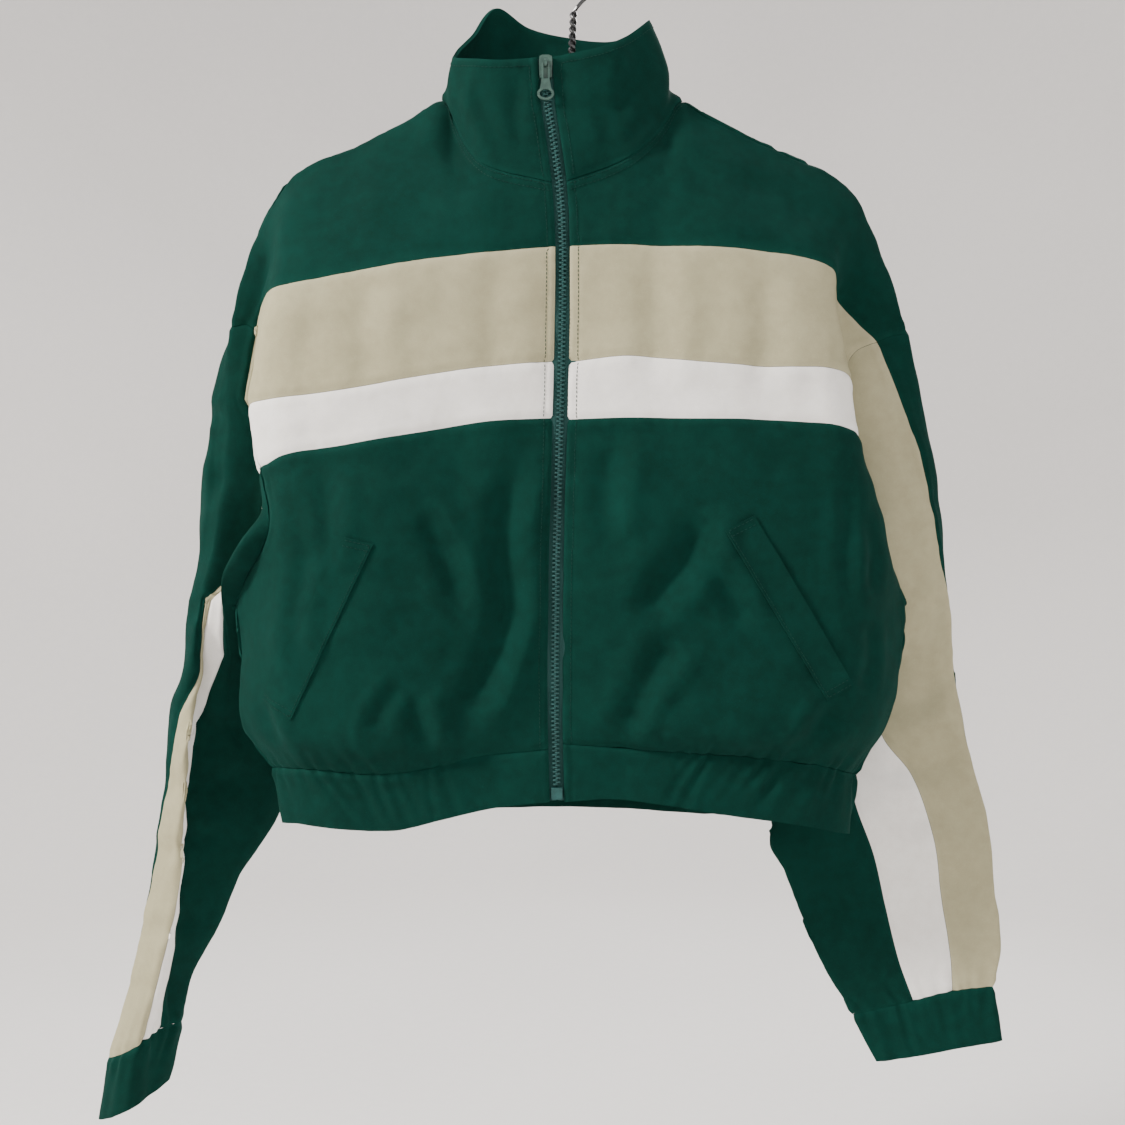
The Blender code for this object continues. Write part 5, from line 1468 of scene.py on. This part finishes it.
def makeTooth():
    # one moulded tooth: a rounded block with a raised back, which points to -X
    bpy.ops.object.select_all(action="DESELECT")
    bpy.ops.mesh.primitive_cube_add(size=1)
    item = bpy.context.view_layer.objects.active
    item.scale = [size * mm for size in zipLook["tooth"]]
    bpy.ops.object.transform_apply(location=True, rotation=True, scale=True)
    bpy.ops.object.mode_set(mode="EDIT")
    bpy.ops.mesh.select_all(action="SELECT")
    bpy.ops.mesh.bevel(offset=zipLook["bevel"] * mm, segments=2, profile=0.6)
    bpy.ops.mesh.select_all(action="DESELECT")
    build = bmesh.from_edit_mesh(item.data)
    for polygon in build.faces:
        polygon.select = polygon.normal.y < -0.99
    bmesh.update_edit_mesh(item.data)
    bpy.ops.mesh.inset(thickness=zipLook["inset"] * mm, depth=zipLook["ridge"] * mm)
    bpy.ops.object.mode_set(mode="OBJECT")
    return item


def toothPlaces():
    # frames of the teeth from the top, turn about on both sides of the zip's line
    tree = searchTree([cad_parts["zip_chain"]])
    wide, deep, _ = zipLook["tooth"]
    count = int((zipLook["top"] - zipLook["foot"]) / zipLook["pitch"])
    places = []
    for n in range(count + 1):
        for sign, shift in ((-1, 0.0), (1, 0.5)):
            z = zipLook["top"] - zipLook["start"] - (n + shift) * zipLook["pitch"]
            if z < zipLook["foot"]:
                continue
            x = zipMiddle(z)[0]
            lean = math.atan2(zipMiddle(z + 2)[0] - x, 2)
            centre = Vector((x + sign * (wide / 2 - zipLook["past"]),
                             faceDepth(tree, x, z) + deep / 2 + zipLook["off"], z)) * mm
            places.append(Matrix.Translation(centre) @ Matrix.Rotation(lean, 4, "Y"))
    return places


for side in sides:
    makeTape(side)
tooth = makeTooth()
places = toothPlaces()
joinCopies("zip_teeth_row", tooth, places, "teeth", "zip_chain")
bpy.data.objects.remove(tooth)
print("zip finished:", len(places), "teeth")

for node, kind in (("hanger", "wire"), ("zip_slider", "enamel"), ("zip_pull", "enamel"),
                   ("zip_box", "teeth")):
    setFinish(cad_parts[node], kind)

studio = {"floor": -1.15, "middle": 0.6, "radius": 2.6, "bend": 0.9, "bendSteps": 12,
          "height": 2.4, "turns": 72, "aim": (0, 0, -0.45), "sky": (0.95, 0.97, 1.0, 1),
          "skyStrength": 0.80}


def makeBackdrop():
    # a pale floor that turns up into a round wall, far from the garment on every side
    floor, bend, steps, turns = (studio[name] for name in ("floor", "bend", "bendSteps", "turns"))
    flat = studio["radius"] - bend
    profile = [(studio["middle"], floor), (flat, floor)]
    for step in range(1, steps + 1):
        angle = math.pi / 2 * step / steps
        profile.append((flat + bend * math.sin(angle), floor + bend * (1 - math.cos(angle))))
    profile.append((studio["radius"], floor + studio["height"]))
    build = bmesh.new()
    rings = [[build.verts.new((r * math.cos(2 * math.pi * n / turns),
                               r * math.sin(2 * math.pi * n / turns), z)) for n in range(turns)]
             for r, z in profile]
    centre = build.verts.new((0, 0, floor))
    for n in range(turns):
        after = (n + 1) % turns
        build.faces.new((centre, rings[0][n], rings[0][after]))
        for low, high in zip(rings[:-1], rings[1:]):
            build.faces.new((low[n], high[n], high[after], low[after]))
    mesh = bpy.data.meshes.new("backdrop")
    build.to_mesh(mesh)
    build.free()
    mesh.shade_smooth()
    mesh.materials.append(mottledMaterial(paper))
    addObject("backdrop", mesh)


makeBackdrop()

lights = (
    # name, place, size, watts, colour
    ("key", (-1.75, -0.80, 0.70), 0.40, 82, (1.0, 0.975, 0.94)),
    ("fill", (1.0, -1.6, 0.1), 1.6, 9, (0.95, 0.975, 1.0)),
    ("rear", (0.5, 1.3, 0.9), 1.2, 46, (1.0, 0.985, 0.965)),
)
for name, spot, size, watts, tint in lights:
    lamp = bpy.data.lights.new(name, "AREA")
    lamp.shape = "DISK"
    lamp.size = size
    lamp.energy = watts
    lamp.color = tint
    item = addObject(name, lamp)
    item.location = spot
    aim = Vector(studio["aim"]) - Vector(spot)
    item.rotation_euler = aim.to_track_quat("-Z", "Y").to_euler()

world = bpy.data.worlds.new("studio")
bpy.context.scene.world = world
world.use_nodes = True
sky = world.node_tree.nodes["Background"]
sky.inputs["Color"].default_value = studio["sky"]
sky.inputs["Strength"].default_value = studio["skyStrength"]

view = {"place": (-0.010125, -0.99, -0.470625), "lens": 40.53, "sensor": 36.0, "near": 0.02}
camera = bpy.data.cameras.new("camera")
camera.lens = view["lens"]
camera.sensor_width = view["sensor"]
camera.clip_start = view["near"]
cameraObject = addObject("camera", camera)
cameraObject.location = view["place"]
cameraObject.rotation_euler = (math.pi / 2, 0, 0)
bpy.context.scene.camera = cameraObject
print("floor, light and camera placed")
